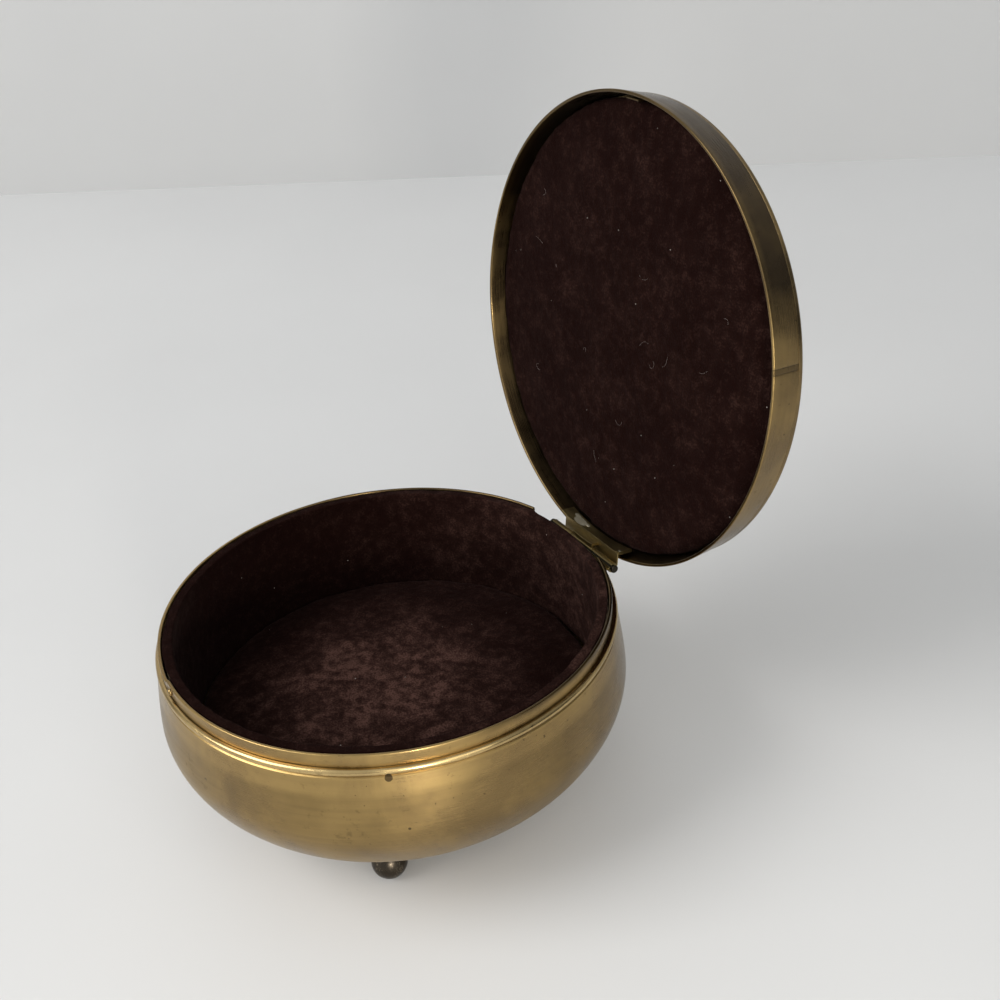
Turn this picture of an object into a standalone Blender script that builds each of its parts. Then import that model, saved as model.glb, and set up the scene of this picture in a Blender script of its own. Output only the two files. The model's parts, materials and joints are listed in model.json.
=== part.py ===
"""Round brass trinket box with an embroidered, velvet-lined lid that stands open.

Metres, +Z up. The bowl's axis is upright, the hinge is at the back (+Y) and the catch at the
front (-Y). Heights are measured from the surface that the three ball feet stand on. The lid's
pieces are modelled as they lie when it is closed, and hang from an empty on the hinge axis that
is turned back by OPEN_ANGLE.
"""

import math

import bmesh
import bpy
from mathutils import Matrix, Vector

# Clearance between pieces, and the thickness of the brass sheet
FIT_GAP = 0.0003
SHEET = 0.0007

# Ball feet, each held by a nut inside the bowl
BALL_RADIUS = 0.0040
BALL_FLAT_RADIUS = 0.0007
STUD_RADIUS = 0.0010
NUT_HEIGHT = 0.0018
NUT_WALL = 0.0006
FOOT_INSET = 0.0030
FOOT_AZIMUTHS_DEG = {"right": 55.0, "back": 175.0, "left": 295.0}

# Bowl, and how much narrower its flat underside and its mouth are than its belly
BELLY_RADIUS = 0.0526
BASE_INSET = 0.0176
MOUTH_INSET = 0.0016
BELLY_RISE = 0.0238
SHOULDER_RISE = 0.0133
SIDE_POWER = 1.1
SHOULDER_POWER = 1.4

# Collar that the lid closes over, and the half-round bead at its foot
COLLAR_EXPOSED = 0.0030
COLLAR_SKIRT = 0.0035
BEAD_HEIGHT = 0.0016
BEAD_REACH = 0.00085

# Velvet lining of the bowl
WALL_CARD = 0.0006
WALL_PILE = 0.0012
LINING_BELOW_RIM = 0.0002
FLOOR_CARD = 0.0012
WADDING_EDGE = 0.0022
FLOOR_CROWN = 0.0020
FLOOR_PILE = 0.0012

# Lid band and bezel, measured with the lid closed
LID_ABOVE_BEAD = 0.0004
LID_EDGE_REACH = 0.0019
LID_TAPER = 0.0011
BEZEL_WIDTH = 0.0042
BEZEL_HEIGHT = 0.0012

# What the lid band holds, from the velvet up to the needlework
LID_RECESS = 0.0030
LID_PILE = 0.0012
LID_PILLOW = 0.0007
LID_CARD = 0.0006
LID_PLATE = 0.0005
PADDING_EDGE = 0.0003
PANEL_THICKNESS = 0.0006
PANEL_RISE = 0.0024

# Hinge
HINGE_BELOW_MOUTH = 0.0008
KNUCKLE_RADIUS = 0.0012
BORE_RADIUS = 0.0007
PIN_RADIUS = 0.0004
PIN_HEAD_RADIUS = 0.00095
PIN_HEAD_LENGTH = 0.0006
PIN_HEAD_BEVEL = 0.0003
LID_KNUCKLE_LENGTH = 0.0086
BODY_KNUCKLE_LENGTH = 0.0078
BODY_LEAF_HEIGHT = 0.0050
LID_LEAF_WIDTH = 0.0160
OPEN_ANGLE = math.radians(97.5)

# Catch at the front
PIP_RADIUS = 0.0008
PIP_REACH = 0.0006
PIP_BELOW_RIM = 0.0013
LIP_WIDTH = 0.0040
LIP_HEIGHT = 0.0014
LIP_REACH = 0.0005

# Roundness of turned shapes, in steps round a full turn and along an arc
RING_STEPS = 60
SMALL_STEPS = 20
NUT_STEPS = 6
ARC_STEPS = 5
MERGE = 0.00001

# Heights and radii of the body's pieces, worked out from the feet upwards
BASE_RADIUS = BELLY_RADIUS - BASE_INSET
MOUTH_RADIUS = BELLY_RADIUS - MOUTH_INSET
FOOT_CIRCLE_RADIUS = BASE_RADIUS - FOOT_INSET
UNDERSIDE = 2 * BALL_RADIUS + FIT_GAP
BELLY = UNDERSIDE + BELLY_RISE
MOUTH = BELLY + SHOULDER_RISE
BEAD_FOOT = MOUTH + FIT_GAP
BEAD_TOP = BEAD_FOOT + BEAD_HEIGHT
COLLAR_TOP = BEAD_TOP + COLLAR_EXPOSED
COLLAR_FOOT = BEAD_FOOT - COLLAR_SKIRT
COLLAR_RADIUS = MOUTH_RADIUS - SHEET - FIT_GAP
WALL_CARD_RADIUS = COLLAR_RADIUS - SHEET - FIT_GAP
WALL_PILE_RADIUS = WALL_CARD_RADIUS - WALL_CARD - FIT_GAP
LINED_RADIUS = WALL_PILE_RADIUS - WALL_PILE
LINING_TOP = COLLAR_TOP - LINING_BELOW_RIM
FLOOR_RADIUS = LINED_RADIUS - FIT_GAP
WADDING_RADIUS = FLOOR_RADIUS - FLOOR_PILE - FIT_GAP

# Heights and radii of the closed lid's pieces
LID_EDGE_RADIUS = MOUTH_RADIUS + LID_EDGE_REACH
LID_TOP_RADIUS = LID_EDGE_RADIUS - LID_TAPER
LID_EDGE = BEAD_TOP + LID_ABOVE_BEAD
LID_FILL_RADIUS = LID_TOP_RADIUS - SHEET - FIT_GAP
VELVET_FACE = LID_EDGE + LID_RECESS
VELVET_BACK = VELVET_FACE + LID_PILE
LID_CARD_FOOT = VELVET_BACK + FIT_GAP
LID_PLATE_FOOT = LID_CARD_FOOT + LID_CARD + FIT_GAP
PADDING_FOOT = LID_PLATE_FOOT + LID_PLATE + FIT_GAP
PANEL_FOOT = PADDING_FOOT + PADDING_EDGE + FIT_GAP
LID_TOP = PANEL_FOOT + PANEL_THICKNESS
LID_BAND_HEIGHT = LID_TOP - LID_EDGE
BEZEL_FOOT = LID_TOP + FIT_GAP
BEZEL_OPENING = LID_TOP_RADIUS - BEZEL_WIDTH
DOME_RADIUS = BEZEL_OPENING - FIT_GAP

# Hinge axis, which lies along X, and the gap in the collar and bead that clears it
HINGE_HEIGHT = MOUTH - HINGE_BELOW_MOUTH
HINGE_REACH = MOUTH_RADIUS + KNUCKLE_RADIUS + FIT_GAP
LID_KNUCKLE_END = LID_KNUCKLE_LENGTH / 2
BODY_KNUCKLE_START = LID_KNUCKLE_END + FIT_GAP
BODY_KNUCKLE_END = BODY_KNUCKLE_START + BODY_KNUCKLE_LENGTH
PIN_HEAD_START = BODY_KNUCKLE_END + FIT_GAP
PIN_END = PIN_HEAD_START + PIN_HEAD_LENGTH
HINGE_GAP_END = PIN_END + 2 * FIT_GAP
LINK_FOOT = HINGE_HEIGHT - SHEET / 2
LINK_TOP = HINGE_HEIGHT + SHEET / 2
LID_LEAF_RADIUS = LID_FILL_RADIUS + FIT_GAP
LID_LEAF_FOOT = LID_EDGE + FIT_GAP
LID_LEAF_TOP = VELVET_FACE - LID_PILLOW

# A distance past everything that a cutter has to pass
BEYOND = 2 * LID_EDGE_RADIUS

FINISHES = {
    "aged_brass": ((0.300, 0.235, 0.150), 0.38, 1.0),
    "bright_brass": ((0.420, 0.340, 0.200), 0.28, 1.0),
    "dark_bronze": ((0.075, 0.062, 0.045), 0.35, 1.0),
    "steel": ((0.300, 0.300, 0.290), 0.35, 1.0),
    "velvet": ((0.022, 0.010, 0.009), 0.95, 0.0),
    "card": ((0.330, 0.250, 0.160), 0.90, 0.0),
    "wadding": ((0.750, 0.720, 0.640), 0.95, 0.0),
    "needlework": ((0.090, 0.075, 0.060), 0.90, 0.0),
}


def bowl_radius(height):
    """Outer radius of the bowl's wall at a height, widest at the belly."""
    if height > BELLY:
        share = (height - BELLY) / SHOULDER_RISE
        return BELLY_RADIUS - (BELLY_RADIUS - MOUTH_RADIUS) * share**SHOULDER_POWER
    share = (BELLY - height) / BELLY_RISE
    return BASE_RADIUS + (BELLY_RADIUS - BASE_RADIUS) * max(0.0, 1 - share**2) ** SIDE_POWER


def seat_height(radius):
    """Height at which a disc or band of this radius comes to rest in the bowl's lower wall."""
    wall_radius = radius + FIT_GAP + SHEET * math.sqrt(2)
    width_share = (wall_radius - BASE_RADIUS) / (BELLY_RADIUS - BASE_RADIUS)
    return BELLY - BELLY_RISE * math.sqrt(max(0.0, 1 - width_share ** (1 / SIDE_POWER)))


def bowl_profile():
    """The bowl's outer line, from the mouth down to the centre of its underside."""
    rows = 2 * ARC_STEPS
    shoulder = [MOUTH - SHOULDER_RISE * step / ARC_STEPS for step in range(ARC_STEPS)]
    side = [BELLY - BELLY_RISE * math.sin(math.pi / 2 * step / rows) for step in range(rows + 1)]
    return [*((bowl_radius(height), height) for height in shoulder + side), (0.0, UNDERSIDE)]


def band_profile(inner, outer, foot, top):
    """A rectangular section, from its top outer corner down and back up the inside."""
    return [(outer, top), (outer, foot), (inner, foot), (inner, top)]


def bead_profile():
    """A half-round section with its flat back to the collar."""
    inner = COLLAR_RADIUS + FIT_GAP
    middle = (BEAD_FOOT + BEAD_TOP) / 2
    turns = [math.pi / 2 - math.pi * step / ARC_STEPS for step in range(ARC_STEPS + 1)]
    return [
        (inner + BEAD_REACH * math.cos(turn), middle + BEAD_HEIGHT / 2 * math.sin(turn))
        for turn in turns
    ]


def lid_band_profile():
    """The lid's side band, which draws in a little from its open edge to its top."""
    return [
        (LID_TOP_RADIUS, LID_TOP),
        (LID_EDGE_RADIUS, LID_EDGE),
        (LID_EDGE_RADIUS - SHEET, LID_EDGE),
        (LID_TOP_RADIUS - SHEET, LID_TOP),
    ]


def lid_band_inside(height):
    """Inner radius of the lid's side band at a height."""
    return LID_EDGE_RADIUS - SHEET - LID_TAPER * (height - LID_EDGE) / LID_BAND_HEIGHT


def bezel_profile():
    """A rolled edge on the lid band, with a thin lip that laps over the needlework."""
    roll_width = (BEZEL_WIDTH - SHEET) / 2
    roll_rise = BEZEL_HEIGHT - SHEET
    lip_top = BEZEL_FOOT + SHEET
    turns = [math.pi - math.pi * step / ARC_STEPS for step in range(ARC_STEPS + 1)]
    roll = [
        (
            LID_TOP_RADIUS - roll_width + roll_width * math.cos(turn),
            lip_top + roll_rise * math.sin(turn),
        )
        for turn in turns
    ]
    lip = [(BEZEL_OPENING, BEZEL_FOOT), (BEZEL_OPENING, lip_top)]
    return [*lip, *roll, (LID_TOP_RADIUS, BEZEL_FOOT)]


def dome(radius, edge, rise):
    """Radius and height of points along a shallow dome, from its centre out to its edge."""
    shares = [step / ARC_STEPS for step in range(ARC_STEPS + 1)]
    return [(radius * share, edge + rise * (1 - share**2)) for share in shares]


def panel_profile():
    """The needlework: a flat margin under the bezel, and a dome inside it."""
    margin = [(LID_FILL_RADIUS, LID_TOP), (LID_FILL_RADIUS, PANEL_FOOT)]
    under = dome(DOME_RADIUS - FIT_GAP, PANEL_FOOT, PANEL_RISE)
    return [*dome(DOME_RADIUS, LID_TOP, PANEL_RISE), *margin, *reversed(under)]


def padding_profile():
    """Wadding that fills the dome under the needlework."""
    radius = DOME_RADIUS - 2 * FIT_GAP
    top = dome(radius, PADDING_FOOT + PADDING_EDGE, PANEL_RISE)
    return [*top, (radius, PADDING_FOOT), (0.0, PADDING_FOOT)]


def disc_profile(radius, foot, top):
    return [(0.0, top), (radius, top), (radius, foot), (0.0, foot)]


def lid_velvet_profile():
    """The velvet disc in the lid, flat at the back and pillowed towards the bowl."""
    shares = [1 - step / ARC_STEPS for step in range(ARC_STEPS + 1)]
    pillow = [(LINED_RADIUS * share, VELVET_FACE - LID_PILLOW * (1 - share**4)) for share in shares]
    back = [(0.0, VELVET_BACK), (LID_FILL_RADIUS, VELVET_BACK), (LID_FILL_RADIUS, VELVET_FACE)]
    return [*back, *pillow]


def floor_profiles():
    """Sections of the floor's card, wadding and velvet, which rest on each other."""
    card_foot = seat_height(FLOOR_RADIUS)
    card_top = card_foot + FLOOR_CARD
    wadding_foot = card_top + FIT_GAP
    wadding_top = wadding_foot + WADDING_EDGE
    velvet_under = wadding_top + FIT_GAP
    velvet_top = velvet_under + FLOOR_PILE
    skirt_radius = WADDING_RADIUS + FIT_GAP
    soft_edge = FLOOR_PILE / 2
    wadding_sides = [(WADDING_RADIUS, wadding_foot), (0.0, wadding_foot)]
    velvet_sides = [
        (FLOOR_RADIUS, velvet_top - soft_edge),
        (FLOOR_RADIUS, wadding_foot),
        (skirt_radius, wadding_foot),
    ]
    return {
        "floor_card": disc_profile(FLOOR_RADIUS, card_foot, card_top),
        "floor_wadding": [*dome(WADDING_RADIUS, wadding_top, FLOOR_CROWN), *wadding_sides],
        "floor_velvet": [
            *dome(FLOOR_RADIUS - soft_edge, velvet_top, FLOOR_CROWN),
            *velvet_sides,
            *reversed(dome(skirt_radius, velvet_under, FLOOR_CROWN)),
        ],
    }


def foot_profile():
    """A ball with a small worn flat, and the stud that goes up through the bowl's underside."""
    upper = math.acos(STUD_RADIUS / BALL_RADIUS)
    lower = math.acos(BALL_FLAT_RADIUS / BALL_RADIUS)
    steps = 2 * ARC_STEPS
    turns = [upper - (upper + lower) * step / steps for step in range(steps + 1)]
    middle = BALL_RADIUS * math.sin(lower)
    ball = [(BALL_RADIUS * math.cos(turn), middle + BALL_RADIUS * math.sin(turn)) for turn in turns]
    stud_top = UNDERSIDE + SHEET + NUT_HEIGHT + 2 * FIT_GAP
    return [(0.0, stud_top), (STUD_RADIUS, stud_top), *ball, (0.0, 0.0)]


def nut_profile():
    """A hexagon nut's section at its corners."""
    foot = UNDERSIDE + SHEET + FIT_GAP
    inner = (STUD_RADIUS + FIT_GAP) / math.cos(math.pi / NUT_STEPS)
    return band_profile(inner, inner + NUT_WALL, foot, foot + NUT_HEIGHT)


def pin_profile():
    """A pin with a bevelled head at each end, along its own axis."""
    half = [
        (PIN_HEAD_RADIUS - PIN_HEAD_BEVEL, PIN_END),
        (PIN_HEAD_RADIUS, PIN_END - PIN_HEAD_BEVEL),
        (PIN_HEAD_RADIUS, PIN_HEAD_START),
        (PIN_RADIUS, PIN_HEAD_START),
    ]
    other_half = [(radius, -along) for radius, along in reversed(half)]
    return [(0.0, PIN_END), *half, *other_half, (0.0, -PIN_END)]


def furthest_back():
    """How far the open lid reaches back from the bowl's axis."""
    return max(
        HINGE_REACH
        - (radius + HINGE_REACH) * math.cos(OPEN_ANGLE)
        + (height - HINGE_HEIGHT) * math.sin(OPEN_ANGLE)
        for radius, height in [*lid_band_profile(), *bezel_profile(), *panel_profile()]
    )


def foot_place(side):
    """Centre of a foot, its azimuth counted from the front towards +X."""
    azimuth = math.radians(FOOT_AZIMUTHS_DEG[side])
    return Vector((math.sin(azimuth), -math.cos(azimuth), 0.0)) * FOOT_CIRCLE_RADIUS


def new_collection(name, shown):
    collection = bpy.data.collections.new(name)
    collection.hide_render = not shown
    bpy.context.scene.collection.children.link(collection)
    return collection


def finish_material(name, finish):
    """A Principled material in one of the finishes, for one piece."""
    colour, roughness, metallic = FINISHES[finish]
    material = bpy.data.materials.new(name)
    material.use_nodes = True
    shader = material.node_tree.nodes["Principled BSDF"]
    shader.inputs["Base Color"].default_value = (*colour, 1.0)
    shader.inputs["Roughness"].default_value = roughness
    shader.inputs["Metallic"].default_value = metallic
    material.diffuse_color = (*colour, 1.0)
    return material


def new_empty(collection, name, place, parent):
    empty = bpy.data.objects.new(name, None)
    empty.empty_display_size = BALL_RADIUS
    empty.parent = parent
    empty.location = place
    collection.objects.link(empty)
    return empty


def boolean(obj, operation, other):
    """Cuts, joins or keeps the common part of a piece and a helper."""
    modifier = obj.modifiers.new(other.name, "BOOLEAN")
    modifier.operation = operation
    modifier.object = other


class TrinketBox:
    """Builds the pieces, in two collections and on two empties."""

    def __init__(self):
        self.parts = new_collection("embroidered_trinket_box", shown=True)
        self.cutters = new_collection("cutters", shown=False)
        # The origin is under the middle of the open box, so the bowl stands forward of it.
        middle = Vector((0.0, (BELLY_RADIUS - furthest_back()) / 2, 0.0))
        self.stand = new_empty(self.parts, "stand", middle, None)
        hinge = Vector((0.0, HINGE_REACH, HINGE_HEIGHT))
        self.lid_axis = new_empty(self.parts, "lid_hinge_axis", hinge, self.stand)
        self.lid_axis.rotation_euler.x = -OPEN_ANGLE

    def hang(self, obj, in_lid):
        """Hangs an object, placed from the bowl's axis, from the stand or from the lid's axis."""
        obj.parent = self.lid_axis if in_lid else self.stand
        if in_lid:
            obj.location -= self.lid_axis.location

    def turned(self, name, profile, collection, steps=RING_STEPS):
        """A shape turned round an upright axis from its section, open or closed."""
        links = [(point, point + 1) for point in range(len(profile) - 1)]
        if profile[-1][0] > 0:
            links.append((len(profile) - 1, 0))
        mesh = bpy.data.meshes.new(name)
        mesh.from_pydata([(radius, 0.0, height) for radius, height in profile], links, [])
        obj = bpy.data.objects.new(name, mesh)
        collection.objects.link(obj)
        screw = obj.modifiers.new("turn", "SCREW")
        screw.axis = "Z"
        screw.angle = math.tau
        screw.steps = steps
        screw.render_steps = steps
        screw.use_merge_vertices = True
        screw.merge_threshold = MERGE
        return obj

    def part(self, name, profile, finish, in_lid=False, steps=RING_STEPS):
        """A turned piece with its finish, hung in the body or in the lid."""
        obj = self.turned(name, profile, self.parts, steps)
        obj.data.materials.append(finish_material(name, finish))
        self.hang(obj, in_lid)
        return obj

    def cutter(self, name, profile, in_lid=False, steps=RING_STEPS):
        """A turned helper that cuts or joins a piece."""
        obj = self.turned(name, profile, self.cutters, steps)
        obj.hide_render = True
        obj.display_type = "WIRE"
        self.hang(obj, in_lid)
        return obj

    def cutter_box(self, name, low, high, in_lid=False):
        """A box helper between two corners."""
        shape = bmesh.new()
        bmesh.ops.create_cube(shape, size=1, matrix=Matrix.Diagonal((*(high - low), 1.0)))
        mesh = bpy.data.meshes.new(name)
        shape.to_mesh(mesh)
        shape.free()
        obj = bpy.data.objects.new(name, mesh)
        obj.location = (low + high) / 2
        obj.hide_render = True
        obj.display_type = "WIRE"
        self.cutters.objects.link(obj)
        self.hang(obj, in_lid)
        return obj

    def cutter_rod(self, name, radius, start, end, in_lid=False):
        """A round helper on the hinge axis, between two distances from its middle."""
        obj = self.cutter(name, disc_profile(radius, start, end), in_lid, SMALL_STEPS)
        obj.rotation_euler.y = math.pi / 2
        obj.location += Vector((0.0, HINGE_REACH, HINGE_HEIGHT))
        return obj

    def back_box(self, name, start, end, foot, top, depth=BEYOND, in_lid=False):
        """A box helper over the back of the box, from its axis back to a depth."""
        return self.cutter_box(
            name, Vector((start, 0.0, foot)), Vector((end, depth, top)), in_lid
        )

    def bowl(self):
        """The spun bowl, with a notch for the hinge and three holes for the studs."""
        bowl = self.turned("bowl_shell", bowl_profile(), self.parts)
        bowl.data.materials.append(finish_material("bowl_shell", "aged_brass"))
        self.hang(bowl, in_lid=False)
        wall = bowl.modifiers.new("wall", "SOLIDIFY")
        wall.thickness = SHEET
        wall.offset = -1
        wall.use_even_offset = True
        notch_foot = HINGE_HEIGHT - KNUCKLE_RADIUS - FIT_GAP
        notch = self.back_box("bowl_notch", -HINGE_GAP_END, HINGE_GAP_END, notch_foot, BEYOND)
        boolean(bowl, "DIFFERENCE", notch)
        for side in FOOT_AZIMUTHS_DEG:
            hole_profile = disc_profile(STUD_RADIUS + FIT_GAP, 0.0, BELLY)
            hole = self.cutter(f"stud_hole_{side}", hole_profile, steps=SMALL_STEPS)
            hole.location = foot_place(side)
            boolean(bowl, "DIFFERENCE", hole)

    def feet(self):
        """Three ball feet, and the nuts on their studs."""
        for side in FOOT_AZIMUTHS_DEG:
            foot = self.part(f"ball_foot_{side}", foot_profile(), "dark_bronze", steps=SMALL_STEPS)
            nut = self.part(f"foot_nut_{side}", nut_profile(), "steel", steps=NUT_STEPS)
            for obj in (foot, nut):
                obj.location = foot_place(side)

    def collar(self):
        """The collar and the bead at its foot, both open at the back for the hinge."""
        gap = self.back_box("hinge_gap", -HINGE_GAP_END, HINGE_GAP_END, 0.0, BEYOND)
        band = band_profile(COLLAR_RADIUS - SHEET, COLLAR_RADIUS, COLLAR_FOOT, COLLAR_TOP)
        collar = self.part("neck_collar", band, "aged_brass")
        bead = self.part("bead_ring", bead_profile(), "bright_brass")
        for obj in (collar, bead):
            boolean(obj, "DIFFERENCE", gap)

    def lining(self):
        """The velvet lining's wall and floor, with the card and wadding behind them."""
        card_foot = seat_height(WALL_CARD_RADIUS)
        card_inner = WALL_CARD_RADIUS - WALL_CARD
        card = band_profile(card_inner, WALL_CARD_RADIUS, card_foot, LINING_TOP)
        self.part("wall_card", card, "card")
        pile_foot = seat_height(WALL_PILE_RADIUS)
        pile = band_profile(LINED_RADIUS, WALL_PILE_RADIUS, pile_foot, LINING_TOP)
        self.part("wall_velvet", pile, "velvet")
        finishes = {"floor_card": "card", "floor_wadding": "wadding", "floor_velvet": "velvet"}
        for name, profile in floor_profiles().items():
            self.part(name, profile, finishes[name])

    def catch(self):
        """A pip on the front of the collar, and the lid's lip that springs over it."""
        pip = self.part("catch_pip", disc_profile(PIP_RADIUS, 0.0, PIP_REACH), "aged_brass",
                        steps=SMALL_STEPS)
        pip.rotation_euler.x = math.pi / 2
        pip.location = Vector((0.0, -COLLAR_RADIUS - FIT_GAP, COLLAR_TOP - PIP_BELOW_RIM))
        foot = LID_EDGE + FIT_GAP
        top = foot + LIP_HEIGHT
        outer = lid_band_inside(top) - FIT_GAP
        band = band_profile(outer - LIP_REACH, outer, foot, top)
        lip = self.part("lid_lip", band, "bright_brass", in_lid=True)
        low = Vector((-LIP_WIDTH / 2, -BEYOND, 0.0))
        high = Vector((LIP_WIDTH / 2, 0.0, BEYOND))
        boolean(lip, "INTERSECT", self.cutter_box("lip_ends", low, high, in_lid=True))

    def lid(self):
        """The lid's band and bezel, and the layers between them."""
        self.part("lid_band", lid_band_profile(), "aged_brass", in_lid=True)
        self.part("lid_bezel", bezel_profile(), "bright_brass", in_lid=True)
        self.part("embroidered_panel", panel_profile(), "needlework", in_lid=True)
        self.part("lid_padding", padding_profile(), "wadding", in_lid=True)
        plate_top = LID_PLATE_FOOT + LID_PLATE
        plate = disc_profile(LID_FILL_RADIUS, LID_PLATE_FOOT, plate_top)
        self.part("lid_plate", plate, "steel", in_lid=True)
        card = disc_profile(LID_FILL_RADIUS, LID_CARD_FOOT, LID_CARD_FOOT + LID_CARD)
        self.part("lid_card", card, "card", in_lid=True)
        self.part("lid_velvet", lid_velvet_profile(), "velvet", in_lid=True)

    def hinge(self):
        """Two leaves bent to the curve, with three knuckles on one pin."""
        pin = self.part("hinge_pin", pin_profile(), "steel", steps=SMALL_STEPS)
        pin.rotation_euler.y = math.pi / 2
        pin.location = Vector((0.0, HINGE_REACH, HINGE_HEIGHT))
        self.body_leaf()
        self.lid_leaf()

    def link(self, name, leaf_radius, start, end, in_lid=False):
        """The strip that joins a leaf to its knuckle, from inside the leaf to the pin."""
        profile = band_profile(leaf_radius - SHEET / 2, BEYOND, LINK_FOOT, LINK_TOP)
        strip = self.cutter(name, profile, in_lid)
        inset = 2 * FIT_GAP
        ends = self.back_box(
            f"{name}_ends", start + inset, end - inset, 0.0, BEYOND, HINGE_REACH, in_lid
        )
        boolean(strip, "INTERSECT", ends)
        return strip

    def body_leaf(self):
        """The leaf inside the bowl, in the collar's place, and its two knuckles."""
        top = HINGE_HEIGHT + SHEET
        band = band_profile(COLLAR_RADIUS - SHEET, COLLAR_RADIUS, top - BODY_LEAF_HEIGHT, top)
        leaf = self.part("hinge_body_leaf", band, "aged_brass")
        ends = self.back_box("body_leaf_ends", -BODY_KNUCKLE_END, BODY_KNUCKLE_END, 0.0, BEYOND)
        boolean(leaf, "INTERSECT", ends)
        spans = {
            "left": (-BODY_KNUCKLE_END, -BODY_KNUCKLE_START),
            "right": (BODY_KNUCKLE_START, BODY_KNUCKLE_END),
        }
        for side, (start, end) in spans.items():
            boolean(leaf, "UNION", self.link(f"body_link_{side}", COLLAR_RADIUS, start, end))
            knuckle = self.cutter_rod(f"body_knuckle_{side}", KNUCKLE_RADIUS, start, end)
            boolean(leaf, "UNION", knuckle)
        bore = self.cutter_rod("body_bore", BORE_RADIUS, -BEYOND, BEYOND)
        boolean(leaf, "DIFFERENCE", bore)

    def lid_leaf(self):
        """The leaf inside the lid's band, with a web down to the middle knuckle."""
        inner = LID_LEAF_RADIUS - SHEET
        band = band_profile(inner, LID_LEAF_RADIUS, HINGE_HEIGHT, LID_LEAF_TOP)
        leaf = self.part("hinge_lid_leaf", band, "aged_brass", in_lid=True)
        half = LID_LEAF_WIDTH / 2
        ends = self.back_box("lid_leaf_ends", -half, half, 0.0, BEYOND, in_lid=True)
        boolean(leaf, "INTERSECT", ends)
        web_end = LID_KNUCKLE_END - FIT_GAP
        sides = {"left": (-BEYOND, -web_end), "right": (web_end, BEYOND)}
        for side, (start, end) in sides.items():
            name = f"lid_web_{side}"
            boolean(
                leaf, "DIFFERENCE",
                self.back_box(name, start, end, 0.0, LID_LEAF_FOOT, in_lid=True),
            )
        start, end = -LID_KNUCKLE_END, LID_KNUCKLE_END
        boolean(leaf, "UNION", self.link("lid_link", LID_LEAF_RADIUS, start, end, in_lid=True))
        boolean(leaf, "UNION", self.cutter_rod("lid_knuckle", KNUCKLE_RADIUS, start, end, True))
        bore = self.cutter_rod("lid_bore", BORE_RADIUS, -BEYOND, BEYOND, True)
        boolean(leaf, "DIFFERENCE", bore)


def main():
    for obj in list(bpy.data.objects):
        bpy.data.objects.remove(obj)
    box = TrinketBox()
    box.bowl()
    box.feet()
    box.collar()
    box.lining()
    box.lid()
    box.catch()
    box.hinge()


if __name__ == "__main__":
    main()
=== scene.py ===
"""Looks of a round brass trinket box that stands open: velvet inside, needlework on its lid.

Metres, +Z up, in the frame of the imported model. Every piece is modelled round the bowl's own axis
with the lid closed, and its mesh is then moved to where it rests, the lid's turned open about the
hinge. Azimuths count from the catch at the front (-Y) towards +X, so the hinge is at 180 degrees.
"""

import json
import logging
import math
import random
from dataclasses import dataclass
from enum import Enum
from typing import Callable, Iterable, Sequence

import bmesh
import bpy
import numpy as np
from mathutils import Matrix, Vector, noise


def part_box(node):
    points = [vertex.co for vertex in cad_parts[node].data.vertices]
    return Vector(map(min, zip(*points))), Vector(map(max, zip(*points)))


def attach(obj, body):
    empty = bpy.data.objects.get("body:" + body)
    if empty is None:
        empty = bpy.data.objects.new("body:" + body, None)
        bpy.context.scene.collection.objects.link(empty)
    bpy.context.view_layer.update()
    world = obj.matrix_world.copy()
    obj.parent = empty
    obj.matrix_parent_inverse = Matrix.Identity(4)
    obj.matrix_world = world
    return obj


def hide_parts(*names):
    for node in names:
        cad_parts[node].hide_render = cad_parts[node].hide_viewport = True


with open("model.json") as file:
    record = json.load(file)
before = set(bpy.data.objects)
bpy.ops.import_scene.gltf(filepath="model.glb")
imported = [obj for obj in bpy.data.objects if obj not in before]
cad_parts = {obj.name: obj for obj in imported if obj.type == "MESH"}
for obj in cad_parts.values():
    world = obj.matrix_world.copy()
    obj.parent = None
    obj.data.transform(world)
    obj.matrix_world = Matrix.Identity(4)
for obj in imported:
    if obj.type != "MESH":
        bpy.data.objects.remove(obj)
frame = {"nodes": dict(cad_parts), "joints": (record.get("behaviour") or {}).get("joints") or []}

LOG = logging.getLogger("trinket_box")

Colour = tuple[float, float, float]
Profile = list[tuple[float, float]]
Socket = bpy.types.NodeSocket

MM = 0.001
STEPS = 288
MERGE = 1e-7
SHARP = math.radians(40)
SHEET = 0.7 * MM
FIT_GAP = 0.3 * MM
HINGE_GAP = 13.9 * MM


class Body(Enum):
    """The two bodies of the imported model."""

    BOX = "box"
    LID = "lid"


class Slot(Enum):
    """The record's material slots."""

    AGED_BRASS = "aged_brass"
    BRIGHT_BRASS = "bright_brass"
    DARK_BRONZE = "dark_bronze"
    STEEL = "steel"
    VELVET = "velvet"
    CARD = "card"
    WADDING = "wadding"
    NEEDLEWORK = "needlework"


@dataclass(frozen=True)
class Setting:
    """A body, and the move from modelling space to where its pieces rest."""

    body: Body
    place: Matrix

    @property
    def back(self) -> Matrix:
        """The move from rest back to modelling space."""
        return self.place.inverted()


def settings_of_frame() -> dict[Body, Setting]:
    """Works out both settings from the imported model.

    Returns:
        The setting of each body.
    """
    low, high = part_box("bowl_shell")
    to_axis = Matrix.Translation((0.0, (low.y + high.y) / 2, 0.0))
    joint = frame["joints"][0]
    hinge = Matrix.Translation(joint["pos_m"])
    opening = Matrix.Rotation(-math.radians(joint["range_deg"][1]), 4, "X")
    turned_open = hinge @ opening @ hinge.inverted() @ to_axis
    return {Body.BOX: Setting(Body.BOX, to_axis), Body.LID: Setting(Body.LID, turned_open)}


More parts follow.
